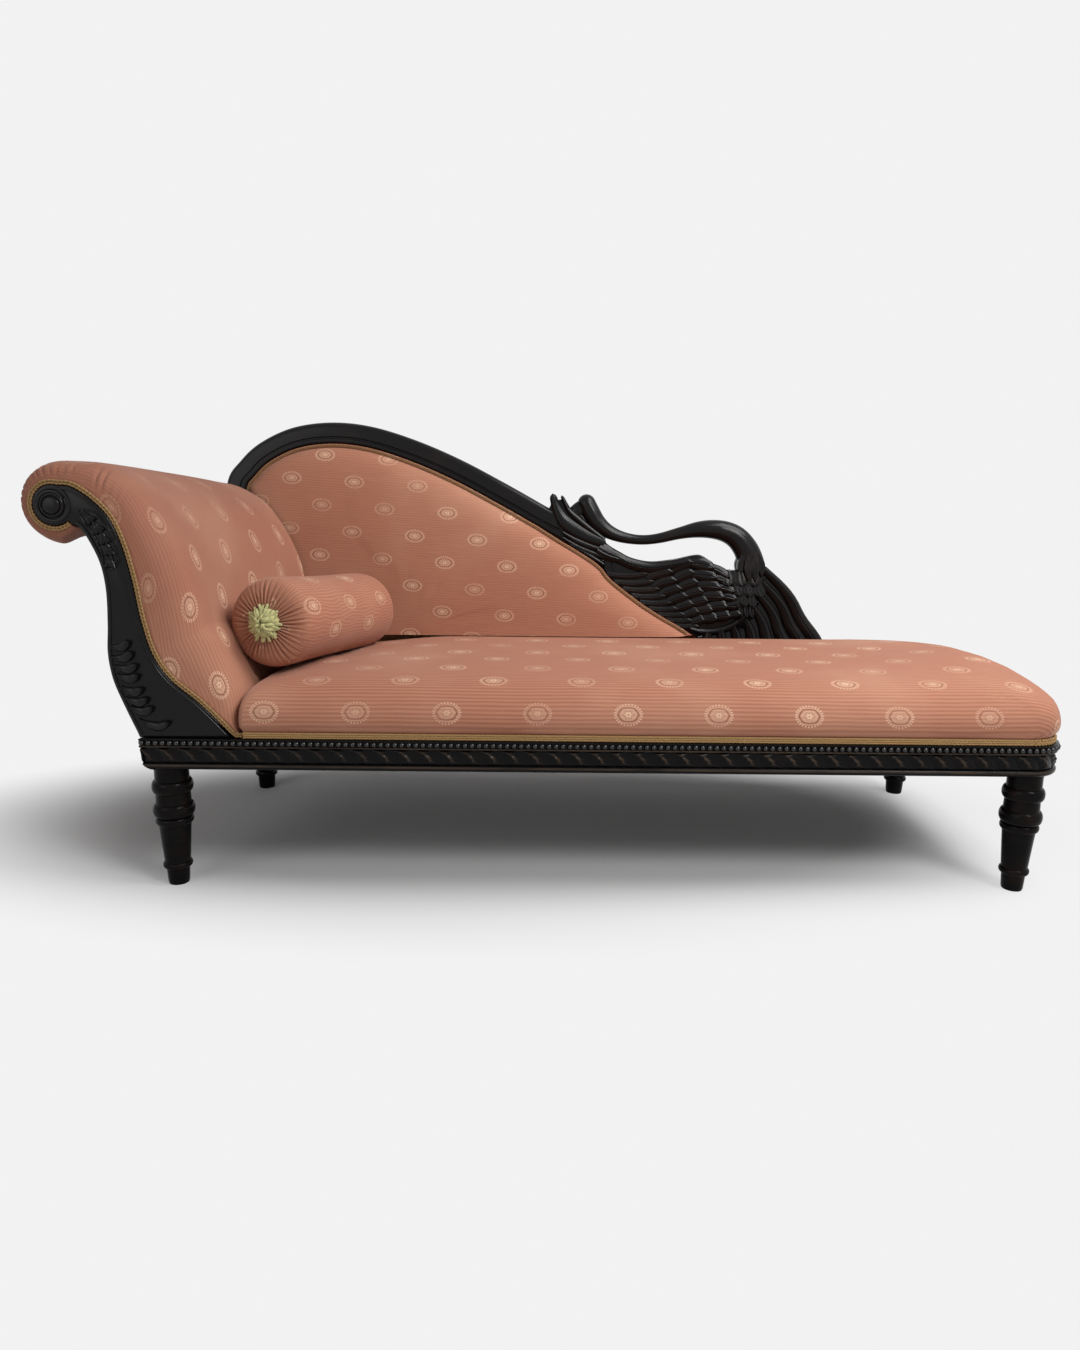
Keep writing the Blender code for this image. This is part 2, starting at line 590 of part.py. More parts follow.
def head_end():
    def facing(name, outline, y_low, y_high, finish):
        return new_object(name, lean_head(board(outline, y_low, y_high)), finish)

    y_front = head_front + FACING_THICKNESS + CLEARANCE
    seated = [(x, z + CLEARANCE) for x, z in inner_edge + outer_edge[::-1]]
    facing("head_facing_front", seated, head_front, head_front + FACING_THICKNESS, EBONISED)
    # The back facing stops short of the back's stuffing.
    reach = HEAD_LOWER_RAIL_THICKNESS + BACK_FACING_REACH
    narrow = [(min(x, reach), z + CLEARANCE) for x, z in inner_edge]
    edge = [(x, z + CLEARANCE) for x, z in outer_edge[::-1]]
    foot_point = (reach, CLEARANCE)
    trimmed = [point for i, point in enumerate(narrow) if point[0] < reach or narrow[i - 1][0] < reach]
    outline = trimmed + [foot_point] + edge
    facing("head_facing_back", outline, head_back - FACING_THICKNESS, head_back, EBONISED)

    # A turned rosette in the eye of the scroll.
    eye = VOLUTE_CENTRE
    profile = [(ROSETTE_RADIUS, 0.0), (ROSETTE_RADIUS, 0.6), (ROSETTE_RADIUS * 0.8, 1.0),
               (ROSETTE_RADIUS * 0.55, 0.7), (ROSETTE_RADIUS * 0.35, 1.0)]
    bm = bmesh.new()
    rings = []
    for radius, rise in profile:
        y = head_front - CLEARANCE - rise * ROSETTE_THICKNESS
        rings.append([(frame_left + x, y, rail_top + z) for x, z in arc(eye, radius, 0, 360, 20)[:-1]])
    new_object("volute_rosette", loft(bm, rings), EBONISED)

    # Rails between the facings.
    y_back = head_back - FACING_THICKNESS - CLEARANCE
    bm = bmesh.new()
    rings = []
    for y in (y_front, y_back):
        circle = arc(eye, head_rail_radius, 0, 360, 16)[:-1]
        rings.append([(frame_left + x, y, rail_top + z) for x, z in circle])
    new_object("head_top_rail", lean_head(loft(bm, rings)), PLAIN_WOOD)

    hidden = head_section(1.0, 1.0, 1.0)[1][15:]
    web_front = offset(hidden, -CLEARANCE)
    web_back = offset(web_front, -WEBBING_THICKNESS)
    cover_out = offset(clip(outer_edge, -1.0, COVER_TOP), COVER_INSET)
    cover_in = offset(cover_out, COVER_THICKNESS)
    levels = (SLAT_LEVEL + SLAT_HEIGHT, SLAT_LEVEL + SLAT_HEIGHT / 2, SLAT_LEVEL)
    slat = [(across_at(cover_in, z) + CLEARANCE, z) for z in levels]
    slat.extend((across_at(web_back, z) - 2 * CLEARANCE, z) for z in levels[::-1])
    facing("head_mid_slat", slat, y_front, y_back, PLAIN_WOOD)

    thick = HEAD_LOWER_RAIL_THICKNESS - CLEARANCE
    low = clip(offset(cover_in, CLEARANCE), CLEARANCE, HEAD_LOWER_RAIL_HEIGHT)
    low.extend([(thick, CLEARANCE), (thick, HEAD_LOWER_RAIL_HEIGHT)])
    facing("head_lower_rail", low, y_front, y_back, PLAIN_WOOD)

    # A hessian sheet down the inside, and the cover outside.
    sheet = [point for point in web_front if point[1] > HEAD_LOWER_RAIL_HEIGHT]
    sheet_back = [point for point in web_back if point[1] > HEAD_LOWER_RAIL_HEIGHT]
    facing("head_hessian", sheet + sheet_back[::-1], y_front, y_back, HESSIAN)

    cover = clip(cover_out, CLEARANCE) + clip(cover_in, CLEARANCE)[::-1]
    facing("head_outside_cover", cover, y_front, y_back, COVER)

    # Stuffing, cut to sit behind and round the front facing.
    pad = new_object("headrest_pad", lean_head(loft(bmesh.new(), head_pad_rings())), COVER, 60.0)
    cutter = facing("facing_space", facing_space(), head_front - FACING_THICKNESS, y_front, None)
    cut(pad, cutter)

    # Braid along the facing's edge.
    line = [point for point in offset(inner_edge, GIMP_RADIUS + 2 * CLEARANCE) if point[1] > 2 * GIMP_RADIUS]
    bm = tube(line, [GIMP_RADIUS] * len(line), GIMP_RADIUS, 6)
    for vert in bm.verts:
        vert.co.y += pad_front - GIMP_RADIUS - CLEARANCE
    new_object("head_gimp", lean_head(bm), BRAID)


# Back

def back_piece(name, outline, depth_low, depth_high, finish):
    return new_object(name, rake_back(board(outline, depth_low, depth_high)), finish)


def back_pad_floor():
    # The stuffing ends just above the seat, which is highest there under the stuffing's front.
    reach = BACK_CROWN / SEAT_BACK_FALL
    profile = [(front, share) for front, back_inset, foot, share in seat_profile]
    for (d0, s0), (d1, s1) in zip(profile, profile[1:]):
        if d0 <= reach <= d1:
            return SEAT_CROWN * (s0 + (s1 - s0) * (reach - d0) / (d1 - d0)) + BACK_PAD_GAP
    return SEAT_CROWN + BACK_PAD_GAP


def back_pad_rings():
    # Rings from the frame forward; each lies inside the one before.
    floor_level = back_pad_floor()

    def ring(line, depth):
        return [(x, depth, max(z, floor_level)) for x, z in line]

    outside = clip(offset(panel_edge, -2 * CLEARANCE), floor_level)
    margin = offset(outside, -(2 * GIMP_RADIUS + 4 * CLEARANCE))
    centre = (UPRIGHT_PLACE, floor_level)
    rings = [ring(outside, BACK_PAD_SEAT), ring(outside, 0.0), ring(margin, 0.0)]
    for scale, share in ((0.988, 0.34), (0.955, 0.62), (0.88, 0.86), (0.74, 0.97), (0.5, 1.0)):
        rings.append([(centre[0] + (x - centre[0]) * scale, -share * BACK_CROWN,
                       centre[1] + (z - centre[1]) * scale) for x, depth, z in rings[2]])
    placed = []
    for points in rings:
        placed.append([(frame_left + x, depth, rail_top + z) for x, depth, z in points])
    return placed


def back():
    thickness = BACK_THICKNESS
    joint = next(i for i, point in enumerate(crest_line) if point[1] >= CREST_JOINT)
    post = crest_line[:joint + 1] + [(crest_inside[i][0], max(crest_inside[i][1], CLEARANCE))
                                     for i in range(joint, -1, -1)]
    back_piece("back_post", post, 0.0, thickness, EBONISED)
    turn = Vector(crest_line[joint]) - Vector(crest_inside[joint])
    along = Vector((turn.y, -turn.x)).normalized() * CLEARANCE
    crest = crest_line[joint:] + crest_inside[joint:][::-1]
    first = (crest[0][0] + along.x, crest[0][1] + along.y)
    last = (crest[-1][0] + along.x, crest[-1][1] + along.y)
    back_piece("back_crest_rail", [first] + crest[1:-1] + [last], 0.0, thickness, EBONISED)

    # The lower rail stands on the back rail, between the post and the swan's tail.
    rail_left = max(point[0] for point in crest_inside if point[1] < LOWER_RAIL_HEIGHT) + CLEARANCE
    rail_right = swan_edge[-1][0] - TAIL_ROOT
    lower = [(rail_left, CLEARANCE), (rail_right, CLEARANCE), (rail_right, LOWER_RAIL_HEIGHT),
             (rail_left, LOWER_RAIL_HEIGHT)]
    back_piece("back_lower_rail", lower, 0.0, thickness, PLAIN_WOOD)

    def strip(place, width):
        # An upright strip from the lower rail to the edge of the opening.
        low = LOWER_RAIL_HEIGHT + CLEARANCE
        left = place - width / 2
        right = place + width / 2
        top = [(x, height_at(panel_edge, x)) for x in (left, right)]
        top[1:1] = [point for point in panel_edge if left < point[0] < right]
        return [(left, low)] + [(x, z - 3 * CLEARANCE) for x, z in top] + [(right, low)]

    web_front = BACK_PAD_SEAT + CLEARANCE
    web_back = web_front + WEBBING_THICKNESS
    upright = strip(UPRIGHT_PLACE, UPRIGHT_WIDTH)
    back_piece("back_upright", upright, web_back + CLEARANCE, thickness, PLAIN_WOOD)
    # Upright webbing bands that rise from one band along the lower rail.
    comb = [(rail_left + WEBBING_WIDTH, LOWER_RAIL_HEIGHT + CLEARANCE),
            (rail_right - 2 * WEBBING_WIDTH, LOWER_RAIL_HEIGHT + CLEARANCE)]
    root = LOWER_RAIL_HEIGHT + WEBBING_WIDTH
    comb.append((comb[1][0], root))
    places = [UPRIGHT_PLACE + BACK_BAND_PITCH * step for step in (4, 3, 2, 1, 0, -1, -2)]
    for place in places:
        band = strip(place, WEBBING_WIDTH)[::-1]
        comb.extend([(band[0][0], root)] + band[1:-1] + [(band[-1][0], root)])
    comb.append((comb[0][0], root))
    back_piece("back_webbing", comb, web_front, web_back, HESSIAN)

    new_object("back_pad", rake_back(loft(bmesh.new(), back_pad_rings())), COVER, 60.0)

    level = LOWER_RAIL_HEIGHT / 2
    lap = [point for point in offset(panel_edge, BACK_COVER_LAP) if point[1] > level]
    lap = spaced(lap, 30)
    outline = [(lap[0][0], level)] + lap + [(lap[-1][0], level)]
    low = thickness + CLEARANCE
    back_piece("back_outside_cover", outline, low, low + COVER_THICKNESS, COVER)

    # Braid round the opening, ahead of the stuffing's edge.
    line = offset(clip(panel_edge, back_pad_floor() + 4 * GIMP_RADIUS), -(GIMP_RADIUS + 3 * CLEARANCE))
    bm = tube(line, [GIMP_RADIUS] * len(line), GIMP_RADIUS, 6)
    for vert in bm.verts:
        vert.co.y -= GIMP_RADIUS + CLEARANCE
    new_object("back_gimp", rake_back(bm), BRAID)


def swan():
    thickness = BACK_THICKNESS
    gap = CLEARANCE
    end_out = Vector(crest_line[-1])
    end_in = Vector(crest_inside[-1])
    across = end_out - end_in
    along = Vector((across.y, -across.x)).normalized() * gap
    wing_bottom = height_at(swan_edge, wing_joint - gap)
    wing = [tuple(end_out + along)] + wing_tips + [wing_top[0]]
    wing[-1] = (wing_joint - gap, wing_top[0][1])
    wing.append((wing_joint - gap, wing_bottom))
    wing.extend(point for point in swan_edge[::-1] if point[0] < wing_joint - 2 * gap)
    wing.append(tuple(end_in + along))
    wing_board = back_piece("swan_wing", wing, 0.0, thickness, EBONISED)

    body_edge = [point for point in swan_edge if point[0] > wing_joint + 0.005]
    joint_bottom = (wing_joint, height_at(swan_edge, wing_joint))
    body = wing_top + breast + body_edge[:-1][::-1] + [joint_bottom]
    back_piece("swan_body", body, 0.0, thickness, EBONISED)

    below = [(x + 1.5 * gap, z - 1.5 * gap) for x, z in breast]
    left = swan_edge[-1][0] - TAIL_ROOT + gap
    tail = [below[0]] + tail_edge[1:] + [(left, gap), (left, LOWER_RAIL_HEIGHT)]
    tail.append((below[-1][0] - 0.0015, LOWER_RAIL_HEIGHT))
    tail.extend(below[:0:-1])
    back_piece("swan_tail", tail, 0.0, thickness, EBONISED)

    # The neck: from the head, over its bend, down to a flat seat on the breast.
    path = smooth(neck_path, 2)
    radii = [radius for radius, in smooth([(radius,) for radius in neck_radii], 2)]
    bm = tube(path, radii, NECK_DEPTH, 12)
    seat = rail_top + BREAST_LEVEL + gap
    everything = bm.verts[:] + bm.edges[:] + bm.faces[:]
    sliced = bmesh.ops.bisect_plane(bm, geom=everything, plane_co=(0, 0, seat), plane_no=(0, 0, -1),
                                    clear_outer=True)
    rim = [item for item in sliced["geom_cut"] if isinstance(item, bmesh.types.BMEdge)]
    bmesh.ops.edgenet_fill(bm, edges=rim)
    for vert in bm.verts:
        vert.co.y += thickness / 2
    new_object("swan_neck", rake_back(bm), EBONISED, 50.0)
    room = tube(path, [radius + 2 * gap for radius in radii], NECK_DEPTH + 2 * gap, 12)
    for vert in room.verts:
        vert.co.y += thickness / 2
    cut(wing_board, new_object("neck_space", rake_back(room), None))


# Seat

# The seat's outside above its fullest line: inset at the front, at the back as a share of that,
# inset at the foot, and share of the crown's height.
seat_profile = (
    (SEAT_OVERHANG + 0.001, 1.0, 0.002, 0.20), (SEAT_OVERHANG, 1.0, -SEAT_BULGE, 0.33),
    (0.007, 1.0, 0.004, 0.54), (0.024, 1.0, 0.013, 0.735), (0.055, 1.0, 0.026, 0.86),
    (0.10, 1.0, 0.048, 0.925), (0.17, 1.0, 0.085, 0.975), (0.235, 1.2, 0.14, 0.995),
    (0.325, 2.6, 0.24, 1.0))


def seat_dip(x, y):
    # The seat sinks towards the back corner beside the head.
    way = min(max((x - seat_left - SEAT_DIP_START) / SEAT_DIP_LENGTH, 0.0), 1.0)
    ease = 1.0 - way * way * (3.0 - 2.0 * way)
    return SEAT_DIP * ease * (y - frame_front) / (seat_back - frame_front)


def seat_ring(inset, height, foot_inset=None, back_share=1.0):
    # A round-cornered ring on the seat's plan. The back and left edges are drawn in less.
    left = seat_left + inset * SEAT_HEAD_FALL
    right = frame_right - (inset if foot_inset is None else foot_inset)
    front = frame_front + inset
    back_edge = seat_back - inset * SEAT_BACK_FALL * back_share
    corners = ((right, back_edge, 0, SEAT_ROUND, 14), (left, back_edge, 90, SEAT_BACK_CORNER, 4),
               (left, front, 180, SEAT_HEAD_CORNER, 14), (right, front, 270, SEAT_ROUND, 4))
    most = 0.4 * (back_edge - front)
    arcs = []
    for x, y, start, rounding, parts in corners:
        rounding = min(rounding, most)
        sign_x = 1 if x == right else -1
        sign_y = 1 if y == back_edge else -1
        centre = (x - sign_x * rounding, y - sign_y * rounding)
        arcs.append((arc(centre, rounding, start, start + 90, 5), parts))
    full = []
    for i, (corner, parts) in enumerate(arcs):
        full.extend(corner)
        following = arcs[(i + 1) % len(arcs)][0][0]
        for part in range(1, parts):
            t = part / parts
            full.append(tuple(p + (q - p) * t for p, q in zip(corner[-1], following)))
    return [(x, y, rail_top + height) for x, y in full]


def seat_pad_rings():
    # The outside, from the braid's line up over the edge roll to the crown.
    edge = SEAT_EDGE_INSET
    rings = [seat_ring(edge, CLEARANCE), seat_ring(edge, SEAT_GIMP_HEIGHT + 2 * CLEARANCE)]
    for inset, back_share, foot_inset, share in seat_profile:
        ring = seat_ring(inset, share * SEAT_CROWN, foot_inset, back_share)
        rings.append([(x, y, z - share * seat_dip(x, y)) for x, y, z in ring])
    return rings


def hessian_rings(lift):
    # The sheet over the springs: a flat rim on the rails and a raised middle.
    rim = HESSIAN_RIM + HESSIAN_FLAT
    return [seat_ring(rim, lift), seat_ring(rim + HESSIAN_SLOPE, HESSIAN_LEVEL + lift)]


def seat():
    rim_top = HESSIAN_THICKNESS + 2 * CLEARANCE
    outside = seat_pad_rings()[::-1]
    rim = HESSIAN_RIM - HESSIAN_MARGIN
    under = [seat_ring(rim, CLEARANCE), seat_ring(rim, rim_top)]
    under.extend(hessian_rings(rim_top))
    new_object("seat_pad", loft(bmesh.new(), outside + under), COVER, 60.0)

    low = [seat_ring(HESSIAN_RIM, CLEARANCE)] + hessian_rings(CLEARANCE)
    high = hessian_rings(CLEARANCE + HESSIAN_THICKNESS)[::-1]
    high.append(seat_ring(HESSIAN_RIM, CLEARANCE + HESSIAN_THICKNESS))
    new_object("spring_hessian", loft(bmesh.new(), low[::-1] + high[::-1]), HESSIAN)

    # Webbing under the rails, a spring on each crossing of its bands, and the lining below.
    inside_left = frame_left + HEAD_FOOT + CROSS_RAIL_WIDTH / 2
    inside_right = frame_right - RAIL_THICKNESS
    inside_front = frame_front + RAIL_THICKNESS
    inside_back = frame_back - RAIL_THICKNESS
    flat = hessian_rings(0.0)[1]
    reach = SPRING_RADIUS + SPRING_MARGIN

    def spread(axis, count):
        # Even places under the hessian's raised middle.
        low = min(point[axis] for point in flat) + reach
        high = max(point[axis] for point in flat) - reach
        return [low + (high - low) * i / (count - 1) for i in range(count)]

    columns = spread(0, SPRING_COLUMNS)
    rows = spread(1, SPRING_ROWS)
    top = LEG_HEIGHT - CLEARANCE
    low_z = top - WEBBING_THICKNESS
    new_object("seat_webbing", net(
        columns, rows, (inside_left - WEBBING_LAP, inside_right + WEBBING_LAP),
        (inside_front - WEBBING_LAP, inside_back + WEBBING_LAP), low_z, top), HESSIAN)
    lining_top = low_z - CLEARANCE
    edge = BLOCK_WIDTH + LINING_INSET
    new_object("dust_cover", box(
        bmesh.new(), (frame_left + LINING_INSET, frame_front + edge, lining_top - DUST_COVER_THICKNESS),
        (frame_right - LINING_INSET, frame_back - edge, lining_top)), LINING)

    # One coil spring, waisted, and its copies.
    foot_z = top + CLEARANCE + SPRING_WIRE
    head_z = rail_top + HESSIAN_LEVEL - SPRING_WIRE
    steps = 8
    points = steps * SPRING_TURNS
    rings = []
    for i in range(points + 1):
        turn = 2 * math.pi * i / steps
        waist = 0.75 + 0.25 * abs(2 * i / points - 1)
        centre = Vector((0, 0, foot_z + (head_z - foot_z) * i / points))
        out = Vector((math.cos(turn), math.sin(turn), 0))
        ring = []
        for x, z in arc((0, 0), SPRING_WIRE, 0, 360, 3)[:-1]:
            ring.append(centre + out * (SPRING_RADIUS * waist + x) + Vector((0, 0, z)))
        rings.append(ring)
    coil = None
    for column, x in enumerate(columns):
        for row, y in enumerate(rows):
            name = "seat_spring_%d_%d" % (column + 1, row + 1)
            if coil is None:
                spring = new_object(name, loft(bmesh.new(), rings), STEEL)
                coil = spring.data
            else:
                spring = bpy.data.objects.new(name, coil)
                bpy.context.scene.collection.objects.link(spring)
            spring.location = (x, y, 0.0)

    # Braid round the foot of the seat: along the front and the foot end.
    inner = seat_ring(SEAT_EDGE_INSET - CLEARANCE, 0.0)
    outer = seat_ring(SEAT_EDGE_INSET - CLEARANCE - SEAT_GIMP_THICKNESS, 0.0)
    keep_left = seat_left + SEAT_GIMP_START
    keep_back = frame_right - SEAT_GIMP_RETURN
    count = len(inner)
    first = next(i for i in range(count) if inner[i][1] < 0 and inner[i][0] > keep_left)
    order = list(range(first, count))
    order += [i for i in range(first) if inner[i][1] > 0 and inner[i][0] > keep_back]
    rings = []
    for i in order:
        rings.append([(*inner[i][:2], rail_top + CLEARANCE), (*outer[i][:2], rail_top + CLEARANCE),
                      (*outer[i][:2], rail_top + CLEARANCE + SEAT_GIMP_HEIGHT),
                      (*inner[i][:2], rail_top + CLEARANCE + SEAT_GIMP_HEIGHT)])
    new_object("seat_gimp", loft(bmesh.new(), rings), BRAID)


# Bolster

def bolster_profile():
    # Half of the roll: distance in from its end, and radius.
    full = BOLSTER_RADIUS
    return [(0.0, ROSETTE_BOLSTER_RADIUS + 0.004), (0.002, full * 0.56), (0.007, full * 0.77),
            (0.017, full * 0.93), (0.032, full * 0.985), (0.070, full * 0.998), (BOLSTER_LENGTH / 2, full)]


def bolster_radius(along):
    # Radius at a distance from the middle, or nothing past the ends.
    depth = BOLSTER_LENGTH / 2 - abs(along)
    if depth < 0:
        return 0.0
    profile = bolster_profile()
    for (d0, r0), (d1, r1) in zip(profile, profile[1:]):
        if depth <= d1:
            return r0 + (r1 - r0) * (depth - d0) / (d1 - d0)
    return profile[-1][1]


def surface_points(rings, parts):
    # Points spread over the quads between rings.
    points = []
    for low, high in zip(rings, rings[1:]):
        for i in range(len(low)):
            j = (i + 1) % len(low)
            for s in range(parts):
                for t in range(parts):
                    a = Vector(low[i]).lerp(Vector(low[j]), s / parts)
                    b = Vector(high[i]).lerp(Vector(high[j]), s / parts)
                    points.append(a.lerp(b, t / parts))
    return points


def bolster():
    skew = math.radians(BOLSTER_SKEW)
    tilt = math.radians(BOLSTER_TILT)
    along = Vector((math.sin(skew) * math.cos(tilt), math.cos(skew) * math.cos(tilt), -math.sin(tilt)))
    side = Vector((math.cos(skew), -math.sin(skew), 0))
    above = side.cross(along)
    seat_rings = seat_pad_rings()
    middle = (min(y for x, y, z in seat_rings[-1]) + max(y for x, y, z in seat_rings[-1])) / 2
    crown = rail_top + SEAT_CROWN
    seat_rings.append([(x, middle, crown - seat_dip(x, middle)) for x, y, z in seat_rings[-1]])
    lying = surface_points(seat_rings[5:], 6)
    head_mesh = lean_head(loft(bmesh.new(), head_pad_rings()))
    head_mesh.verts.ensure_lookup_table()
    size = len(head_mesh.verts) // len(head_stations)
    head_rings = []
    for i in range(len(head_stations)):
        head_rings.append([head_mesh.verts[i * size + j].co.copy() for j in range(size // 2)])
    leaning = surface_points(head_rings, 5)
    head_mesh.free()

    # Its back end stops ahead of the back's stuffing; then it is lowered onto the seat and moved up to
    # the head until it just clears both, also when it is lifted straight up.
    half = BOLSTER_LENGTH / 2 + ROSETTE_BOLSTER_HEIGHT
    back_limit = back_plane - BACK_CROWN - BOLSTER_GAP
    middle_y = back_limit - half * along.y - BOLSTER_RADIUS * abs(side.y)
    centre = Vector((frame_left + HEAD_FOOT + BOLSTER_RADIUS, middle_y, crown + BOLSTER_RADIUS))
    for attempt in range(6):
        rise = -1.0
        for point in lying:
            away = point - centre
            radius = bolster_radius(away.dot(along))
            if abs(away.dot(side)) < radius:
                rise = max(rise, away.dot(above) + math.sqrt(radius ** 2 - away.dot(side) ** 2))
        centre.z += (rise + BOLSTER_GAP) / above.z
        shift = -1.0
        for point in leaning:
            away = point - centre
            radius = bolster_radius(away.dot(along))
            level = min(away.dot(above), 0.0)
            if -level < radius:
                shift = max(shift, away.dot(side) + math.sqrt(radius ** 2 - level ** 2))
        centre.x += (shift + 2 * BOLSTER_GAP) / side.x

    pivot = bpy.data.objects.new("bolster_lift", None)
    bpy.context.scene.collection.objects.link(pivot)
    pivot.location = centre
    pivot.rotation_euler = Matrix((side, along.cross(side), along)).transposed().to_euler()
    half_profile = [(radius, depth - BOLSTER_LENGTH / 2) for depth, radius in bolster_profile()]
    profile = half_profile + [(radius, -z) for radius, z in half_profile[-2::-1]]
    pieces = [new_object("bolster", turned(profile, 24), COVER, 60.0)]
    for name, sign in (("front", -1), ("back", 1)):
        start = sign * (BOLSTER_LENGTH / 2 + CLEARANCE)
        big = ROSETTE_BOLSTER_RADIUS
        high = ROSETTE_BOLSTER_HEIGHT
        tuft = [(big * 0.85, start), (big, start + sign * high * 0.35),
                (big * 0.8, start + sign * high * 0.8), (big * 0.4, start + sign * high)]
        pieces.append(new_object("bolster_rosette_" + name, turned(tuft, 14), TUFT))
    for piece in pieces:
        piece.parent = pivot
    print("bolster centre", [round(value, 4) for value in centre])


def main():
    for old in list(bpy.data.objects):
        bpy.data.objects.remove(old, do_unlink=True)
    seat_frame()
    head_end()
    back()
    swan()
    seat()
    bolster()


main()
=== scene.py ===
import json
import math
from functools import partial

import bmesh
import bpy
import numpy as np
from mathutils import Matrix, Vector


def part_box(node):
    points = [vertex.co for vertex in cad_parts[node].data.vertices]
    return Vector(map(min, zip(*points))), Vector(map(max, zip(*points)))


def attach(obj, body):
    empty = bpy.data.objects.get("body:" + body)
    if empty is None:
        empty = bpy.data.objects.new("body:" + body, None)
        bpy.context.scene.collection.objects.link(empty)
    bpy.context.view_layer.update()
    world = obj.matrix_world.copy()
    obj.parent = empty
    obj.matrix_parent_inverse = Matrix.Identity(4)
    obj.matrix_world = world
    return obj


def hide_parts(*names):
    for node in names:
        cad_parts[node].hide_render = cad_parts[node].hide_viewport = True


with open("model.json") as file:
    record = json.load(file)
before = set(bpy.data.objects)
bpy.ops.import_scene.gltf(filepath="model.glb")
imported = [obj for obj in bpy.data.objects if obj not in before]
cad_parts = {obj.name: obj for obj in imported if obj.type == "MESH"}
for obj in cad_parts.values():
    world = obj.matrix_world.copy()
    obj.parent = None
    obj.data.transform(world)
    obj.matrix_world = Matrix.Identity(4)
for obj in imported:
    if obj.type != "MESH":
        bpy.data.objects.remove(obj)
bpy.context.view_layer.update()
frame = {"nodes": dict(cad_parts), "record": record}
nodes = frame["nodes"]

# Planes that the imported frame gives, in metres
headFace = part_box("head_rail")[0].x
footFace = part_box("foot_rail")[1].x
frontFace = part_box("front_rail")[0].y
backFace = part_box("back_rail")[1].y
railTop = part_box("front_rail")[1].z
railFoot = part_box("front_rail")[0].z
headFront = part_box("head_facing_front")[0].y
clear = 0.0003                         # room between pieces that meet
backPlane = backFace - 0.046           # the front of the back frame, at the rail tops
rake = math.tan(math.radians(6.0))     # how far the back leans
headBack = backPlane - clear


# Lines

def runOf(line):
    # The running length at each point of a line.
    return np.concatenate([[0.0], np.cumsum(np.linalg.norm(np.diff(line, axis=0), axis=1))])


def heading(line, axis=0, least=0.0):
    # The unit direction at each point of a line; least keeps a point that stands still from dividing by 0.
    way = np.gradient(line, axis=axis)
    return way / (np.linalg.norm(way, axis=-1, keepdims=True) + least)


def aside(way):
    # Square to a direction, on its left.
    return np.stack([-way[..., 1], way[..., 0]], axis=-1)


def spokes(angle):
    return np.stack([np.cos(angle), np.sin(angle)], axis=-1)


def even(line, count):
    # The same line with evenly spaced points, by running length.
    run = runOf(line)
    places = np.linspace(0.0, run[-1], count)
    return np.stack([np.interp(places, run, line[:, k]) for k in range(line.shape[1])], axis=1)


def flow(points, count):
    # Catmull-Rom curve through the points: each stretch is a cubic of its four nearest points.
    p = np.asarray(points, float)
    q = np.vstack([p[:1], p, p[-1:]])[:, None]
    t = np.linspace(0.0, 1.0, 24, endpoint=False)[None, :, None]
    a, b, c, d = q[:-3], q[1:-2], q[2:-1], q[3:]
    bend = 0.5 * (2 * b + (c - a) * t + (2 * a - 5 * b + 4 * c - d) * t ** 2
                  + (3 * b - a - 3 * c + d) * t ** 3)
    return even(np.vstack([bend.reshape(-1, p.shape[1]), p[-1:]]), count)


def beside(line, distance):
    # The line moved sideways, to its left for a positive distance.
    return line + distance * aside(heading(line))


def ease(x):
    # A smooth step from 0 to 1.
    x = np.clip(x, 0.0, 1.0)
    return x * x * (3.0 - 2.0 * x)


# Meshes

def gridMesh(name, grid, caps=(True, True), cloth=None, around=True):
    # Quads over a grid of points; around closes its columns, caps fill its first and last rows. A cloth map
    # without a closing column takes its first one again.
    rows, cols = grid.shape[:2]
    i, j = np.meshgrid(np.arange(rows - 1), np.arange(cols - (not around)), indexing="ij")
    corner = [(i, j), (i, j + 1), (i + 1, j + 1), (i + 1, j)]
    faces = np.stack([a * cols + b % cols for a, b in corner], axis=-1).reshape(-1, 4).tolist()
    if caps[0]:
        faces.append(list(range(cols))[::-1])
    if caps[1]:
        faces.append(list(range((rows - 1) * cols, rows * cols)))
    mesh = bpy.data.meshes.new(name)
    mesh.from_pydata(grid.reshape(-1, 3).tolist(), [], faces)
    if cloth is not None:
        if cloth.shape[1] == cols:
            cloth = np.concatenate([cloth, cloth[:, :1]], axis=1)
        layer = mesh.uv_layers.new(name="cloth")
        flat = np.stack([cloth[a, b] for a, b in corner], axis=-2).reshape(-1, 2)
        ends = [cloth[0, :cols][::-1]] * caps[0] + [cloth[rows - 1, :cols]] * caps[1]
        layer.data.foreach_set("uv", np.vstack([flat] + ends).astype(np.float32).ravel())
    return mesh


def finishMesh(mesh, sharp=40.0, weld=0.0):
    # Faces outwards, poles welded, soft shading with sharp edges kept.
    work = bmesh.new()
    work.from_mesh(mesh)
    if weld:
        bmesh.ops.remove_doubles(work, verts=work.verts, dist=weld)
    bmesh.ops.recalc_face_normals(work, faces=work.faces)
    work.to_mesh(mesh)
    work.free()
    mesh.shade_smooth()
    mesh.set_sharp_from_angle(angle=math.radians(sharp))
    return mesh


def joined(name, meshes):
    # Several meshes as one.
    work = bmesh.new()
    for mesh in meshes:
        work.from_mesh(mesh)
    whole = bpy.data.meshes.new(name)
    work.to_mesh(whole)
    work.free()
    return whole


def addPiece(name, mesh, finish, stands=(), body="chaise"):
    piece = bpy.data.objects.new(name, mesh)
    bpy.context.scene.collection.objects.link(piece)
    mesh.materials.append(finish)
    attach(piece, body)
    if stands:
        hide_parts(*stands)
    return piece


# Materials

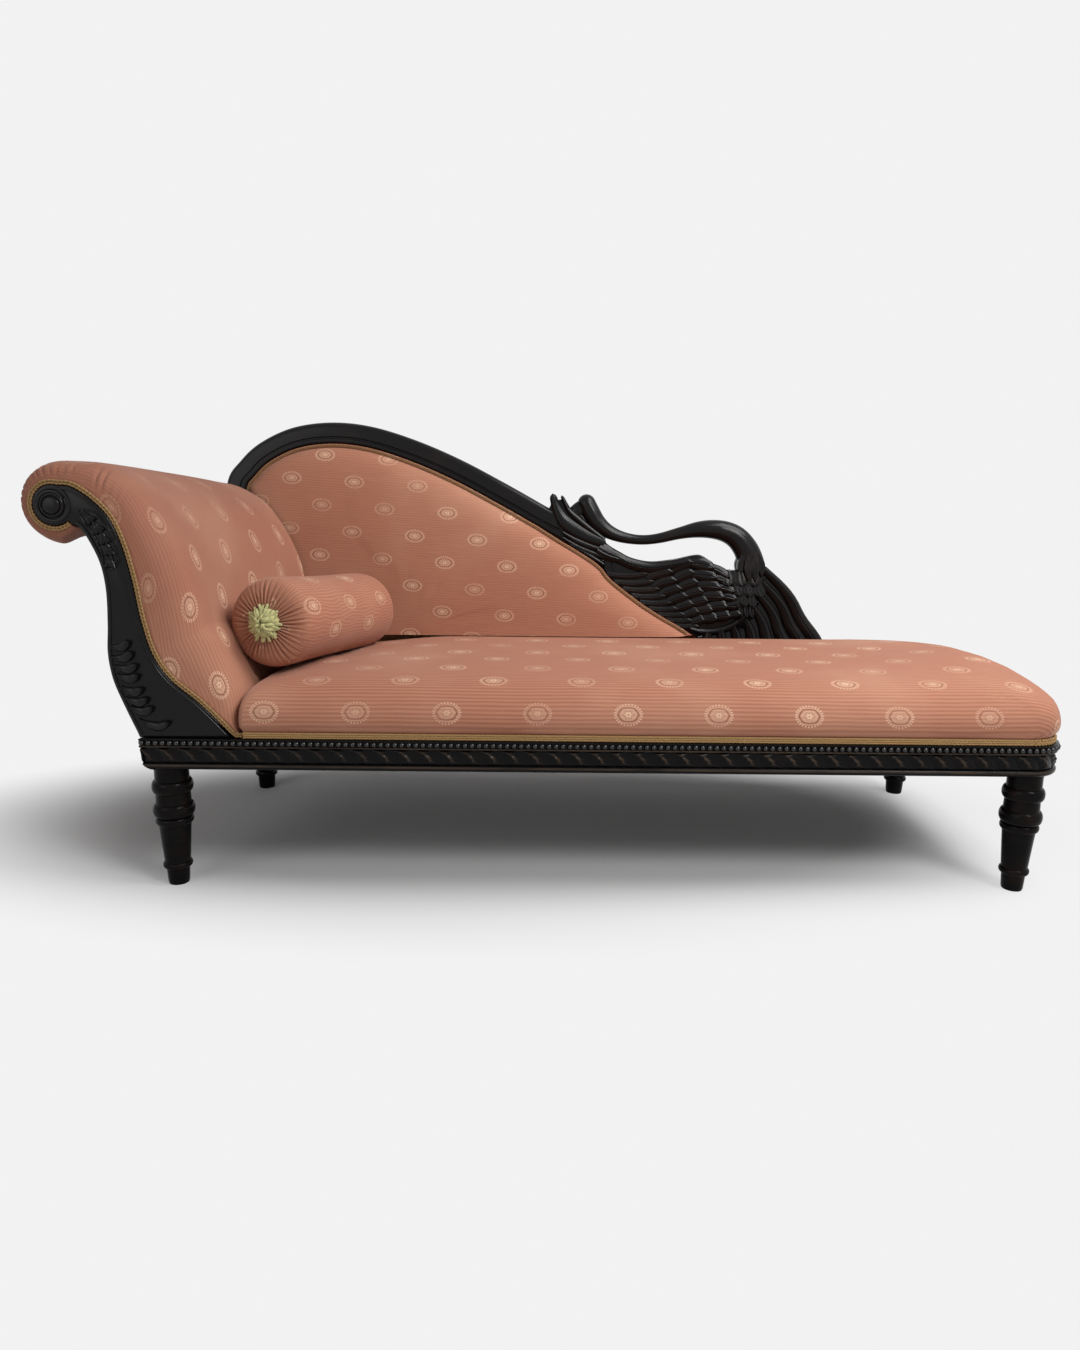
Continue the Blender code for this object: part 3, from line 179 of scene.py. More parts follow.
def newFinish(name):
    finish = bpy.data.materials.new(name)
    finish.use_nodes = True
    return finish, finish.node_tree, finish.node_tree.nodes["Principled BSDF"]


def feed(tree, socket, value):
    if isinstance(value, bpy.types.NodeSocket):
        tree.links.new(value, socket)
    else:
        socket.default_value = value


def setInputs(node, values):
    for name, value in values.items():
        node.inputs[name].default_value = value


def calc(tree, kind, *values):
    node = tree.nodes.new("ShaderNodeMath")
    node.operation = kind
    for socket, value in zip(node.inputs, values):
        feed(tree, socket, value)
    return node.outputs[0]


def ramp(tree, value, low, high, start=0.0, end=1.0):
    # A smooth step of value from low to high.
    node = tree.nodes.new("ShaderNodeMapRange")
    node.interpolation_type = 'SMOOTHSTEP'
    feed(tree, node.inputs["Value"], value)
    setInputs(node, {"From Min": low, "From Max": high, "To Min": start, "To Max": end})
    return node.outputs["Result"]


def band(tree, value, middle, width):
    # 1 at the middle, falling smoothly to 0 at the width.
    away = calc(tree, 'ABSOLUTE', calc(tree, 'SUBTRACT', value, middle))
    return ramp(tree, away, width, 0.0)


def blendColour(tree, share, a, b):
    node = tree.nodes.new("ShaderNodeMix")
    node.data_type = 'RGBA'
    feed(tree, node.inputs["Factor"], share)
    feed(tree, node.inputs["A"], a)
    feed(tree, node.inputs["B"], b)
    return node.outputs["Result"]


def grainNoise(tree, vector, scale, detail=4.0, rough=0.55):
    node = tree.nodes.new("ShaderNodeTexNoise")
    feed(tree, node.inputs["Vector"], vector)
    setInputs(node, {"Scale": scale, "Detail": detail, "Roughness": rough})
    return node.outputs["Fac"]


def stretched(tree, vector, scale):
    node = tree.nodes.new("ShaderNodeMapping")
    feed(tree, node.inputs["Vector"], vector)
    node.inputs["Scale"].default_value = scale
    return node.outputs["Vector"]


def placeCoords(tree):
    return tree.nodes.new("ShaderNodeTexCoord").outputs["Object"]


def addBump(tree, shader, height, strength, distance):
    node = tree.nodes.new("ShaderNodeBump")
    feed(tree, node.inputs["Height"], height)
    setInputs(node, {"Strength": strength, "Distance": distance})
    tree.links.new(node.outputs["Normal"], shader.inputs["Normal"])


clothLook = {
    "salmon": (0.475, 0.208, 0.126, 1.0),
    "rose": (0.315, 0.122, 0.074, 1.0),
    "cream": (0.760, 0.500, 0.340, 1.0),
    "shade": (0.190, 0.075, 0.050, 1.0),
    # painted shade: the darker cloth of the upper headrest
    "paintedLighting": (0.225, 0.083, 0.054, 1.0),
    "pitch": 0.155,     # medallions along the cloth
    "drop": 0.0675,     # rows of medallions
    "wide": 0.0240,     # a medallion's half width and half height
    "tall": 0.0168,
    "rib": 0.0066,      # coarse ribs along the cloth
    "thread": 0.0016,
}


def clothFinish(name, shift=(0.0, 0.0), ribbing=1.0, drawn=(1.0, 1.0), paintedLighting=0.0,
                wavy=(0.006, (5.0, 22.0, 1.0))):
    # Ribbed cloth with staggered oval medallions, in metres on the piece's own cloth map.
    look = clothLook
    finish, tree, shader = newFinish(name)
    source = tree.nodes.new("ShaderNodeUVMap")
    source.uv_map = "cloth"
    parts = tree.nodes.new("ShaderNodeSeparateXYZ")
    cloth = stretched(tree, source.outputs["UV"], (1.0 / drawn[0], 1.0 / drawn[1], 1.0))
    tree.links.new(cloth, parts.inputs["Vector"])
    u, v = parts.outputs["X"], parts.outputs["Y"]
    kinds = ('MULTIPLY', 'ADD', 'SUBTRACT', 'MAXIMUM')
    times, plus, less, most = (partial(calc, tree, kind) for kind in kinds)
    warp = grainNoise(tree, stretched(tree, cloth, wavy[1]), 1.0, 2.0)
    vRib = plus(v, times(less(warp, 0.5), wavy[0]))

    # Cell of the staggered lattice, then the place inside its oval.
    row = calc(tree, 'DIVIDE', plus(v, shift[1]), look["drop"])
    half = times(calc(tree, 'FLOORED_MODULO', calc(tree, 'FLOOR', row), 2.0), 0.5)
    column = plus(calc(tree, 'DIVIDE', plus(u, shift[0]), look["pitch"]), half)
    across = times(less(calc(tree, 'FRACT', column), 0.5), look["pitch"] / look["wide"])
    upward = times(less(calc(tree, 'FRACT', row), 0.5), look["drop"] / look["tall"])
    far = calc(tree, 'SQRT', plus(times(across, across), times(upward, upward)))
    turn = calc(tree, 'ARCTAN2', upward, across)
    wideOff, tallOff = (calc(tree, 'ABSOLUTE', part) for part in (across, upward))
    hexagon = most(times(tallOff, 1.10), plus(times(wideOff, 0.80), times(tallOff, 0.48)))
    hexagon = times(plus(hexagon, far), 0.5)
    beads = ramp(tree, calc(tree, 'SINE', times(turn, 26.0)), -0.6, 0.5)
    dotted = times(band(tree, far, 0.96, 0.14), beads)
    field = times(ramp(tree, hexagon, 0.62, 0.54), 0.50)
    ring = times(band(tree, hexagon, 0.80, 0.10), 0.55)
    petals = less(far, plus(times(calc(tree, 'COSINE', times(turn, 6.0)), 0.06), 0.24))
    flower = ramp(tree, petals, 0.04, -0.04)
    pale = most(most(dotted, field), most(flower, ring))
    dark = most(band(tree, hexagon, 0.66, 0.075), times(band(tree, petals, 0.09, 0.06), 0.7))
    dark = most(dark, ramp(tree, far, 0.09, 0.04))

    ribs = calc(tree, 'SINE', times(vRib, 2 * math.pi / look["rib"]))
    threads = calc(tree, 'SINE', times(v, 2 * math.pi / look["thread"]))
    slubs = grainNoise(tree, stretched(tree, cloth, (14.0, 420.0, 1.0)), 1.0, 3.0)
    tone = grainNoise(tree, placeCoords(tree), 3.0, 3.0)
    ribShare = times(ramp(tree, ribs, -1.0, 1.0), 0.62 * ribbing)
    shadeShare = plus(ribShare, times(slubs, 0.55 + 0.30 * (1.0 - ribbing)))
    # The medallions are worn in places. Painted shade: the cloth is darker, and its medallions fainter, on
    # the upper headrest.
    kept = ramp(tree, grainNoise(tree, placeCoords(tree), 7.0, 2.0), 0.36, 0.60, 0.55, 1.0)
    ground = blendColour(tree, shadeShare, look["salmon"], look["rose"])
    if paintedLighting:
        kept = times(kept, ramp(tree, u, 0.36, 0.60, 1.0 - 1.3 * paintedLighting, 1.0))
        ground = blendColour(tree, ramp(tree, u, 0.36, 0.76, paintedLighting, 0.0), ground, look["paintedLighting"])
    pale, dark = times(pale, kept), times(dark, kept)
    ground = blendColour(tree, ramp(tree, tone, 0.40, 0.75, 0.0, 0.16), ground, look["cream"])
    woven = blendColour(tree, times(pale, 0.78), ground, look["cream"])
    woven = blendColour(tree, times(dark, 0.74), woven, look["shade"])
    tree.links.new(woven, shader.inputs["Base Color"])
    height = times(ribs, 0.32 * ribbing)
    for part, share in ((threads, 0.25), (pale, 0.9), (slubs, 0.7)):
        height = plus(height, times(part, share))
    addBump(tree, shader, height, 0.30, 0.0007)
    setInputs(shader, {"Roughness": 0.78, "Specular IOR Level": 0.25, "Sheen Weight": 0.12,
                       "Sheen Roughness": 0.45})
    return finish


woodLook = {
    "black": (0.0048, 0.0042, 0.0042, 1.0),
    "brown": (0.026, 0.013, 0.009, 1.0),
    "dust": (0.030, 0.026, 0.023, 1.0),
    # lighter brown of raised carving: worn polish and painted highlight
    "ridge": (0.060, 0.042, 0.030, 1.0),
}


def ebonyFinish(name, brownness=0.30, gloss=0.15, rough=(0.16, 0.28), ridges=False):
    # Ebonised hardwood: black polish with brown worn through along the grain, and fine open pores.
    look = woodLook
    finish, tree, shader = newFinish(name)
    place = placeCoords(tree)
    streaks = grainNoise(tree, stretched(tree, place, (7.0, 60.0, 60.0)), 1.0, 5.0)
    worn = grainNoise(tree, place, 9.0, 4.0)
    pores = grainNoise(tree, stretched(tree, place, (90.0, 900.0, 900.0)), 1.0, 2.0)
    share = calc(tree, 'MULTIPLY', ramp(tree, streaks, 0.40, 0.80), ramp(tree, worn, 0.42, 0.72, 0.1, 1.0))
    base = blendColour(tree, calc(tree, 'MULTIPLY', share, brownness), look["black"], look["brown"])
    base = blendColour(tree, ramp(tree, worn, 0.60, 0.85, 0.0, 0.25), base, look["dust"])
    if ridges:
        height = tree.nodes.new("ShaderNodeAttribute")
        height.attribute_name = "ridge"
        # Partly worn polish, partly painted highlight: what stands out is painted a lighter brown.
        paintedLighting = calc(tree, 'MULTIPLY', ramp(tree, height.outputs["Fac"], 0.55, 1.0),
                      ramp(tree, worn, 0.30, 0.65, 0.35, 1.0))
        base = blendColour(tree, paintedLighting, base, look["ridge"])
    tree.links.new(base, shader.inputs["Base Color"])
    tree.links.new(ramp(tree, worn, 0.30, 0.75, *rough), shader.inputs["Roughness"])
    addBump(tree, shader, calc(tree, 'ADD', pores, calc(tree, 'MULTIPLY', worn, 0.6)), 0.14, 0.0006)
    setInputs(shader, {"Specular IOR Level": gloss, "Coat Weight": 0.03, "Coat Roughness": 0.18})
    return finish


def plainFinish(name, colour, rough, fine, strength):
    # A plain material whose tone and bump follow one noise.
    finish, tree, shader = newFinish(name)
    noise = grainNoise(tree, placeCoords(tree), fine, 4.0)
    darker = tuple(0.6 * part for part in colour[:3]) + (1.0,)
    tree.links.new(blendColour(tree, noise, darker, colour), shader.inputs["Base Color"])
    shader.inputs["Roughness"].default_value = rough
    addBump(tree, shader, noise, strength, 0.0006)
    return finish


ebony = ebonyFinish("ebonised_wood")
beadEbony = ebonyFinish("ebonised_bead", 0.30, 0.45, (0.16, 0.26))
legEbony = ebonyFinish("ebonised_leg", 0.60, 0.04, (0.12, 0.20))
# The rails' finish paints what stands out lighter: worn polish and painted highlight.
railEbony = ebonyFinish("ebonised_rail", 0.30, 0.07, (0.12, 0.20), True)
frameWood = plainFinish("frame_wood", (0.33, 0.21, 0.11, 1.0), 0.6, 60.0, 0.2)
hessianWeave = plainFinish("hessian", (0.42, 0.33, 0.20, 1.0), 0.95, 400.0, 0.5)
liningCloth = plainFinish("lining_cloth", (0.030, 0.030, 0.032, 1.0), 0.95, 500.0, 0.4)
braidGold = plainFinish("braid_gold", (0.48, 0.28, 0.105, 1.0), 0.75, 700.0, 0.5)
braidOld = plainFinish("braid_old", (0.36, 0.205, 0.075, 1.0), 0.75, 700.0, 0.5)
braidDark = plainFinish("braid_dark", (0.27, 0.145, 0.055, 1.0), 0.75, 700.0, 0.5)
tuftCotton = plainFinish("tuft_cotton", (0.60, 0.57, 0.26, 1.0), 0.9, 500.0, 0.5)
springSteel = plainFinish("spring_steel", (0.45, 0.44, 0.42, 1.0), 0.4, 200.0, 0.1)
springSteel.node_tree.nodes["Principled BSDF"].inputs["Metallic"].default_value = 1.0
seatCloth = clothFinish("seat_cloth", (0.0359, -0.0033), 1.0, (1.043, 1.185))
# The head's cloth is given painted shade over its upper part.
headCloth = clothFinish("head_cloth", (-0.0365, -0.037), 0.75, (1.12, 1.0), 0.50)
backCloth = clothFinish("back_cloth", (-0.0331, 0.0220), 0.40, (0.9535, 0.8578))
bolsterCloth = clothFinish("bolster_cloth", (0.0, 0.0), 0.85, wavy=(0.034, (10.0, 9.0, 1.0)))
print("materials made")

finishOf = {"ebonised_wood": ebony, "frame_wood": frameWood, "cover_fabric": seatCloth, "braid": braidGold,
            "hessian": hessianWeave, "lining": liningCloth, "spring_steel": springSteel,
            "bolster_fabric": bolsterCloth, "tuft_fringe": tuftCotton}
for entry in frame["record"]["subparts"]:
    mesh = nodes[entry["node"]].data
    mesh.materials.clear()
    mesh.materials.append(finishOf[entry["material_slot"]])


def addWood(name, mesh, node, finish=ebony):
    addPiece(name, mesh, finish, (node,))


def addCover(name, mesh, finish, node):
    return addPiece(name, mesh, finish, (node,))


# Stuffing of the padded pieces

stuffLook = {"frames": 5, "pressure": 4.0, "quality": 3}


def pointsOf(mesh):
    points = np.empty(len(mesh.vertices) * 3, np.float32)
    mesh.vertices.foreach_get("co", points)
    return points.reshape(-1, 3)


def markLoose(mesh, loose):
    # How freely each point may swell, from 0, held, to 1.
    mesh.attributes.new("loose", 'FLOAT', 'POINT').data.foreach_set("value", loose.astype(np.float32).ravel())


def fillPad(piece, most):
    # Cloth under pressure for a few frames. Each point keeps its loose share of the move, eased off at the
    # most that the pad allows, so what is held stays clear of its neighbours.
    look = stuffLook
    mesh = piece.data
    start = pointsOf(mesh)
    loose = np.empty(len(start), np.float32)
    mesh.attributes["loose"].data.foreach_get("value", loose)
    mesh.attributes.remove(mesh.attributes["loose"])
    piece.vertex_groups.new(name="held").add(np.flatnonzero(loose < 0.02).tolist(), 1.0, 'REPLACE')
    cloth = piece.modifiers.new("stuffing", 'CLOTH')
    cloth.point_cache.frame_start, cloth.point_cache.frame_end = 1, look["frames"]
    cloth.collision_settings.use_collision = False
    cloth.settings.vertex_group_mass = "held"
    cloth.settings.quality = look["quality"]
    cloth.settings.use_pressure = True
    cloth.settings.uniform_pressure_force = look["pressure"]
    cloth.settings.effector_weights.gravity = 0.0
    for step in range(1, look["frames"] + 1):
        bpy.context.scene.frame_set(step)
    move = pointsOf(piece.evaluated_get(bpy.context.evaluated_depsgraph_get()).data) - start
    far = np.linalg.norm(move, axis=1, keepdims=True) + 1e-9
    spread = np.round(1000 * np.percentile(far[loose > 0.5], (10, 50, 90, 100)), 1)
    print(piece.name, "swells by", spread, "mm before the limit")
    move *= loose[:, None] * most * np.tanh(far / most) / far
    piece.modifiers.clear()
    piece.vertex_groups.clear()
    mesh.vertices.foreach_set("co", (start + move).astype(np.float32).ravel())
    mesh.update()
    bpy.context.scene.frame_set(1)


# The lines of the head end, from the head rail's face and the rail tops

headLines = {
    "voluteCentre": (-0.116, 0.4055),
    "voluteRadius": 0.0345,
    "voluteTurn": (-50.0, -285.0),
    "facing": [(-0.083, 0.4365), (-0.052, 0.4165), (-0.024, 0.3855), (-0.006, 0.3405), (0.007, 0.2805),
               (0.017, 0.2115), (0.033, 0.1505), (0.061, 0.1055), (0.111, 0.0615), (0.168, 0.0)],
    "outer": [(-0.081, 0.3745), (-0.066, 0.3565), (-0.046, 0.3110), (-0.039, 0.2625), (-0.041, 0.2025),
              (-0.045, 0.1525), (-0.040, 0.1075), (-0.026, 0.0650), (0.0, 0.0)],
    "rollCentre": (-0.1125, 0.4110),
    "rollRadius": 0.0735,
    "rollTurn": (-98.0, -270.0),
    "front": [(-0.022, 0.4790), (0.030, 0.4615), (0.081, 0.4230), (0.128, 0.3490), (0.155, 0.2770),
              (0.163, 0.2100), (0.158, 0.1500), (0.161, 0.1100), (0.174, 0.0700), (0.174, 0.0003)],
    "fall": 0.058,
}


def circleAt(centre, radius, degrees):
    return np.array(centre) + radius * spokes(np.radians(degrees))


def placed(plan, depth):
    # Lines in the front view, counted from the head rail's face and the rail tops, set at a depth.
    depth = np.broadcast_to(depth, plan.shape[:-1])
    return np.stack([headFace + plan[..., 0], depth, railTop + plan[..., 1]], axis=-1)


def leanHead(points):
    # The head leans back with the raked back and sinks a little towards it.
    share = (points[..., 1] - headFront) / (headBack - headFront)
    height = np.maximum(points[..., 2] - railTop, 0.0)
    sunk = share * height * headLines["fall"]
    moved = points.copy()
    moved[..., 1] += share * (height - sunk) * rake
    moved[..., 2] -= sunk
    return moved


voluteSteps, edgeSteps = 130, 150
spin = np.linspace(0.0, 14.0, voluteSteps)          # places on the volute, as the part counts them
voluteLine = circleAt(headLines["voluteCentre"], headLines["voluteRadius"],
                      np.interp(spin, (0.0, 14.0), headLines["voluteTurn"]))
facingLine = flow([voluteLine[-1]] + headLines["facing"], edgeSteps)
innerEdge = np.vstack([voluteLine, facingLine[1:]])
outerEdge = flow(headLines["outer"], 90)
rollLine = circleAt(headLines["rollCentre"], headLines["rollRadius"],
                    np.interp(spin, (1.0, 14.0), headLines["rollTurn"]))
rollStart = np.array(headLines["outer"][0]) + (0.006, -0.007)
rollLine = np.where(spin[:, None] < 1.0, rollStart + (rollLine - rollStart) * spin[:, None], rollLine)
fullSection = np.vstack([rollLine, flow([rollLine[-1]] + headLines["front"], edgeSteps)[1:]])
sectionPlace = np.concatenate([spin, 14.0 + 21.0 * np.linspace(0.0, 1.0, edgeSteps)[1:]])

headPad = {
    "edge": 0.012, "setback": 0.005, "depthInFacing": 0.0098, "hiddenReach": 0.034, "facingThick": 0.040,
    # share of the depth, and how far the stuffing has swelled there: at the roll, under it and at the bolster
    "stations": [(0.0, 0.0, 0.0, 0.0), (0.010, 0.46, 0.46, 0.24), (0.032, 0.76, 0.76, 0.42),
                 (0.070, 0.95, 0.90, 0.55), (0.14, 1.0, 0.40, 0.57), (0.26, 1.0, 0.30, 0.57),
                 (0.40, 1.0, 0.30, 0.64), (0.60, 1.0, 0.30, 0.80), (0.80, 1.0, 0.30, 0.92),
                 (1.0, 1.0, 0.30, 1.0)],
    "rows": 70, "rearEnd": (0.03, 0.09, 0.35, 0.67, 1.0), "pleat": 0.11, "pleatPitch": 0.0125,
    "pleatReach": 0.085, "stuffed": 0.005,
}


def makeHeadrest():
    # Sections between the facing's edge and the full line, swollen by shares that change with the depth.
    look = headPad
    padFront = headFront + look["setback"]
    padBack = headBack - look["facingThick"] - 0.0006
    table = flow(look["stations"], look["rows"])
    share, atRoll, underRoll, atBolster = (table[:, k, None] for k in range(4))
    place = sectionPlace[None, :]
    under = np.clip((7.0 - place) / 3.0, 0.0, 1.0)
    low = np.clip((place / 35.0 - 0.45) / 0.45, 0.0, 1.0)
    near = np.minimum(1.4 * np.sin(np.pi * low), 1.0)
    swell = np.clip(atRoll + under * (underRoll - atRoll) + near * (atBolster - atRoll), 0.0, 1.0)
    # Small pleats where the cloth is drawn round the volute.
    run = runOf(fullSection)
    fold = 0.5 + 0.5 * np.cos(2 * np.pi * run / look["pleatPitch"] + 1.5 * np.sin(run / 0.017))
    where = ease((place - 5.0) / 4.0) * ease((20.0 - place) / 4.0)
    reach = look["pleatReach"] * (0.75 + 0.25 * np.sin(run / 0.009))
    drawn = ease(share / 0.006) * ease((reach - share) / 0.07)
    swell = (swell - look["pleat"] * fold ** 3 * where * drawn)[..., None]
    edge = beside(innerEdge, look["edge"])
    outside = edge[None] + (fullSection - edge)[None] * swell
    depth = padFront + (padBack - padFront) * share
    tucked = beside(innerEdge, -look["depthInFacing"])
    tucked[:, 0] = np.minimum(tucked[:, 0], look["hiddenReach"])
    ahead = (depth < headFront + look["facingThick"] + 0.0004)[..., None]
    hidden = np.where(ahead, beside(innerEdge, 0.0008)[None], tucked[None])
    # The rear end: the outside drawn in to the hidden edge, so that the cloth runs on over it.
    drawnIn = np.array(look["rearEnd"])[:, None, None]
    outside = np.concatenate([outside, outside[-1:] + (hidden[-1:] - outside[-1:]) * drawnIn])
    hidden = np.concatenate([hidden, np.repeat(hidden[-1:], len(drawnIn), axis=0)])
    depth = np.concatenate([depth - 0.004 * ease(share * 20.0 - 19.0), np.full((len(drawnIn), 1), padBack)])
    depth[look["rows"]] -= 0.0012
    section = np.concatenate([outside, hidden[:, ::-1]], axis=1)
    section[..., 1] = np.maximum(section[..., 1], clear)
    grid = leanHead(placed(section, depth))
    # Cloth map: along the section from the seat up over the roll, and across the depth.
    along = np.concatenate([run, run[::-1]])
    step = np.linalg.norm(np.diff(grid, axis=0), axis=-1)
    width = np.concatenate([np.zeros((1, grid.shape[1])), np.cumsum(step, axis=0)])
    width = width - width[look["rows"] - 1] + padBack
    cloth = np.stack([np.broadcast_to(along, width.shape), width], axis=-1)
    mesh = gridMesh("headrest", grid, (True, False), cloth)
    outer = np.arange(section.shape[1]) < len(fullSection)
    level, high = depth - padFront, section[..., 1]
    loose = outer * ease((level - 0.02) / 0.06) * ease((padBack - padFront - 0.01 - level) / 0.06)
    markLoose(mesh, loose * ease((high - 0.12) / 0.06) * (0.35 + 0.65 * ease((high - 0.26) / 0.08)))
    piece = addCover("headrest", finishMesh(mesh, 55.0, 1e-5), headCloth, "headrest_pad")
    fillPad(piece, look["stuffed"])


seatLook = {
    "crown": 0.107, "backFall": 0.22, "headFall": 0.35, "headFoot": 0.174, "headGap": 0.002, "backGap": 0.003,
    "round": 0.068, "backCorner": 0.018, "headCorner": 0.010, "soften": (4.2, 1.0), "edgeInset": 0.010,
    "gimp": 0.0121, "footDome": 0.015, "dip": 0.022, "dipStart": 0.08, "dipLength": 0.26, "stuffed": 0.004,
    "softenFrom": (0.0105, 0.010),   # insets from which the foot's and the head's corners grow rounder
    "parts": (150, 26, 150, 26),     # steps along the back, head, front and foot
    # inset at the front, back share of it, inset at the foot, share of the crown
    "profile": [(0.0025, 1.0, 0.005, 0.20), (0.0015, 1.0, 0.003, 0.33), (0.007, 1.0, 0.0065, 0.54),
                (0.024, 1.0, 0.0145, 0.735), (0.055, 1.0, 0.026, 0.86), (0.10, 1.0, 0.042, 0.925),
                (0.17, 1.0, 0.072, 0.975), (0.235, 1.2, 0.125, 0.995), (0.325, 2.6, 0.24, 1.0)],
}


def seatRings(inset, backShare, footInset):
    # Round-cornered rings on the seat's plan, one row per inset. Returns points and outward directions.
    look = seatLook
    turnSteps = 16
    left = headFace + look["headFoot"] + look["headGap"] + inset * look["headFall"]
    right = footFace - footInset
    front = frontFace + inset
    back = backPlane - look["backGap"] - inset * look["backFall"] * backShare
    most = 0.4 * (back - front)
    atFoot = look["round"] + look["soften"][0] * np.maximum(footInset - look["softenFrom"][0], 0.0)
    atHead = look["headCorner"] + look["soften"][1] * np.maximum(inset - look["softenFrom"][1], 0.0)
    corners = ((right, back, 0.0, atFoot, (1, 1)), (left, back, 90.0, look["backCorner"], (-1, 1)),
               (left, front, 180.0, atHead, (-1, -1)), (right, front, 270.0, atFoot, (1, -1)))
    turns = []
    for x, y, start, rounding, sign in corners:
        rounding = np.minimum(rounding, most)[:, None]
        angle = np.radians(start + np.linspace(0.0, 90.0, turnSteps))[None]
        turns.append(np.stack([x[:, None] - sign[0] * rounding + rounding * np.cos(angle),
                               y[:, None] - sign[1] * rounding + rounding * np.sin(angle),
                               np.cos(angle) + 0 * rounding, np.sin(angle) + 0 * rounding], axis=-1))
    stretches = []
    for k, count in enumerate(look["parts"]):
        a, b = turns[k][:, -1:], turns[(k + 1) % 4][:, :1]
        t = np.linspace(0.0, 1.0, count + 1)[None, 1:-1, None]
        stretches.extend([turns[k], a + (b - a) * t])
    return np.concatenate(stretches, axis=1)


def makeSeat():
    # Rings from the braid's line up over the edge roll to a ridge along the crown.
    look = seatLook
    seatLeft = headFace + look["headFoot"] + look["headGap"]
    seatBack = backPlane - look["backGap"]
    table = flow(look["profile"], 44)
    inset, backShare, footInset, share = table.T
    edge = np.full(3, look["edgeInset"])
    rings = seatRings(np.concatenate([edge, inset]), np.concatenate([np.ones(3), backShare]),
                      np.concatenate([edge, footInset]))
    rise = np.concatenate([[clear, look["gimp"] * 0.5, look["gimp"]], share * look["crown"]])
    sink = np.concatenate([np.zeros(3), share])
    x, y = rings[..., 0], rings[..., 1]
    way = 1.0 - ease((x - seatLeft - look["dipStart"]) / look["dipLength"])
    across = (y - frontFace) / (seatBack - frontFace)
    dip = look["dip"] * way * across
    dome = look["footDome"] * (1.0 - (2.0 * across - 1.0) ** 2) * ease((x - footFace + 0.34) / 0.30)
    z = railTop + rise[:, None] + sink[:, None] * (dome - dip)
    grid = np.stack([x, y, z], axis=-1)
    # The last ring closes on its own middle line: each point meets the one across from it.
    last = grid[-1].copy()
    turnedAt = len(last) - look["parts"][3] + 1
    order = np.arange(len(last))
    facing = np.where(order < turnedAt, turnedAt - 1 - order, turnedAt + len(last) - 1 - order)
    last[:, [0, 2]] = 0.5 * (last[:, [0, 2]] + last[facing][:, [0, 2]])
    last[:, 1] = 0.5 * (last[:, 1].min() + last[:, 1].max())
    span = last[:, 0].min() + 0.03, last[:, 0].max() - 0.03
    last[:, 0] = np.clip(last[:, 0], *span)
    grid = np.concatenate([grid, (grid[-1:] + last[None]) / 2, last[None]])
    # Cloth map: the plan, let out over the edges by the length that the plan hides.
    out = np.concatenate([rings[..., 2:], rings[-1:, :, 2:], rings[-1:, :, 2:]])
    move = np.diff(grid, axis=0)
    level = np.abs(np.sum(move[..., :2] * out[1:], axis=-1))
    hiddenRun = np.cumsum((np.hypot(level, move[..., 2]) - level)[::-1], axis=0)[::-1]
    spare = np.concatenate([hiddenRun, np.zeros((1, grid.shape[1]))])
    cloth = grid[..., :2] + out * spare[..., None]
    grid = np.concatenate([grid[:1], grid])
    cloth = np.concatenate([cloth[:1], cloth])
    mesh = gridMesh("seat_cushion", grid, (True, False), cloth)
    x, y, z = pointsOf(mesh).T
    markLoose(mesh, ease((z - railTop - 0.028) / 0.04) * ease((x - seatLeft - 0.015) / 0.08)
              * ease((seatBack - 0.008 - y) / 0.06))
    piece = addCover("seat_cushion", finishMesh(mesh, 55.0, 1e-5), seatCloth, "seat_pad")
    fillPad(piece, look["stuffed"])


# The lines of the back

backLines = {
    "crest": [(0.0, 0.0003), (-0.012, 0.170), (-0.040, 0.330), (-0.036, 0.4535), (-0.002, 0.5075),
              (0.047, 0.5505), (0.123, 0.5855), (0.213, 0.5985), (0.308, 0.5905), (0.413, 0.5605),
              (0.521, 0.5165), (0.628, 0.4625), (0.735, 0.4045)],
    "crestWidth": 0.050,
    "swanEdge": [(0.762, 0.3295), (0.815, 0.2990), (0.860, 0.2685), (0.889, 0.2355), (0.958, 0.1835),
                 (1.007, 0.1525), (1.057, 0.1245), (1.099, 0.0975)],
    "thick": 0.032,
}
crestLine = flow(backLines["crest"], 220)
crestInside = beside(crestLine, -backLines["crestWidth"])
panelEdge = even(np.vstack([crestInside, flow(backLines["swanEdge"], 60)]), 360)


def rakeBack(points):
    # Depths counted from the back frame's front plane, leaning with its rake.
    moved = points.copy()
    moved[..., 1] += backPlane + (points[..., 2] - railTop) * rake
    return moved


def closedFoot(line, level, count):
    # A line over the panel, closed along a straight foot.
    foot = np.linspace(line[-1, 0], line[0, 0], count)[1:-1]
    return np.vstack([line, np.column_stack([foot, np.full(count - 2, level)])])


backPad = {
    "seat": 0.0177, "gap": 0.0006, "margin": 0.0092, "crown": 0.036, "centre": 0.40,
    "swell": [(1.0, 0.0), (0.988, 0.34), (0.955, 0.62), (0.88, 0.86), (0.74, 0.97), (0.5, 1.0), (0.2, 1.0)],
    "tilt": 2.88,        # degrees, the medallions' rows drop towards the foot
    "stuffed": 0.0012,
}


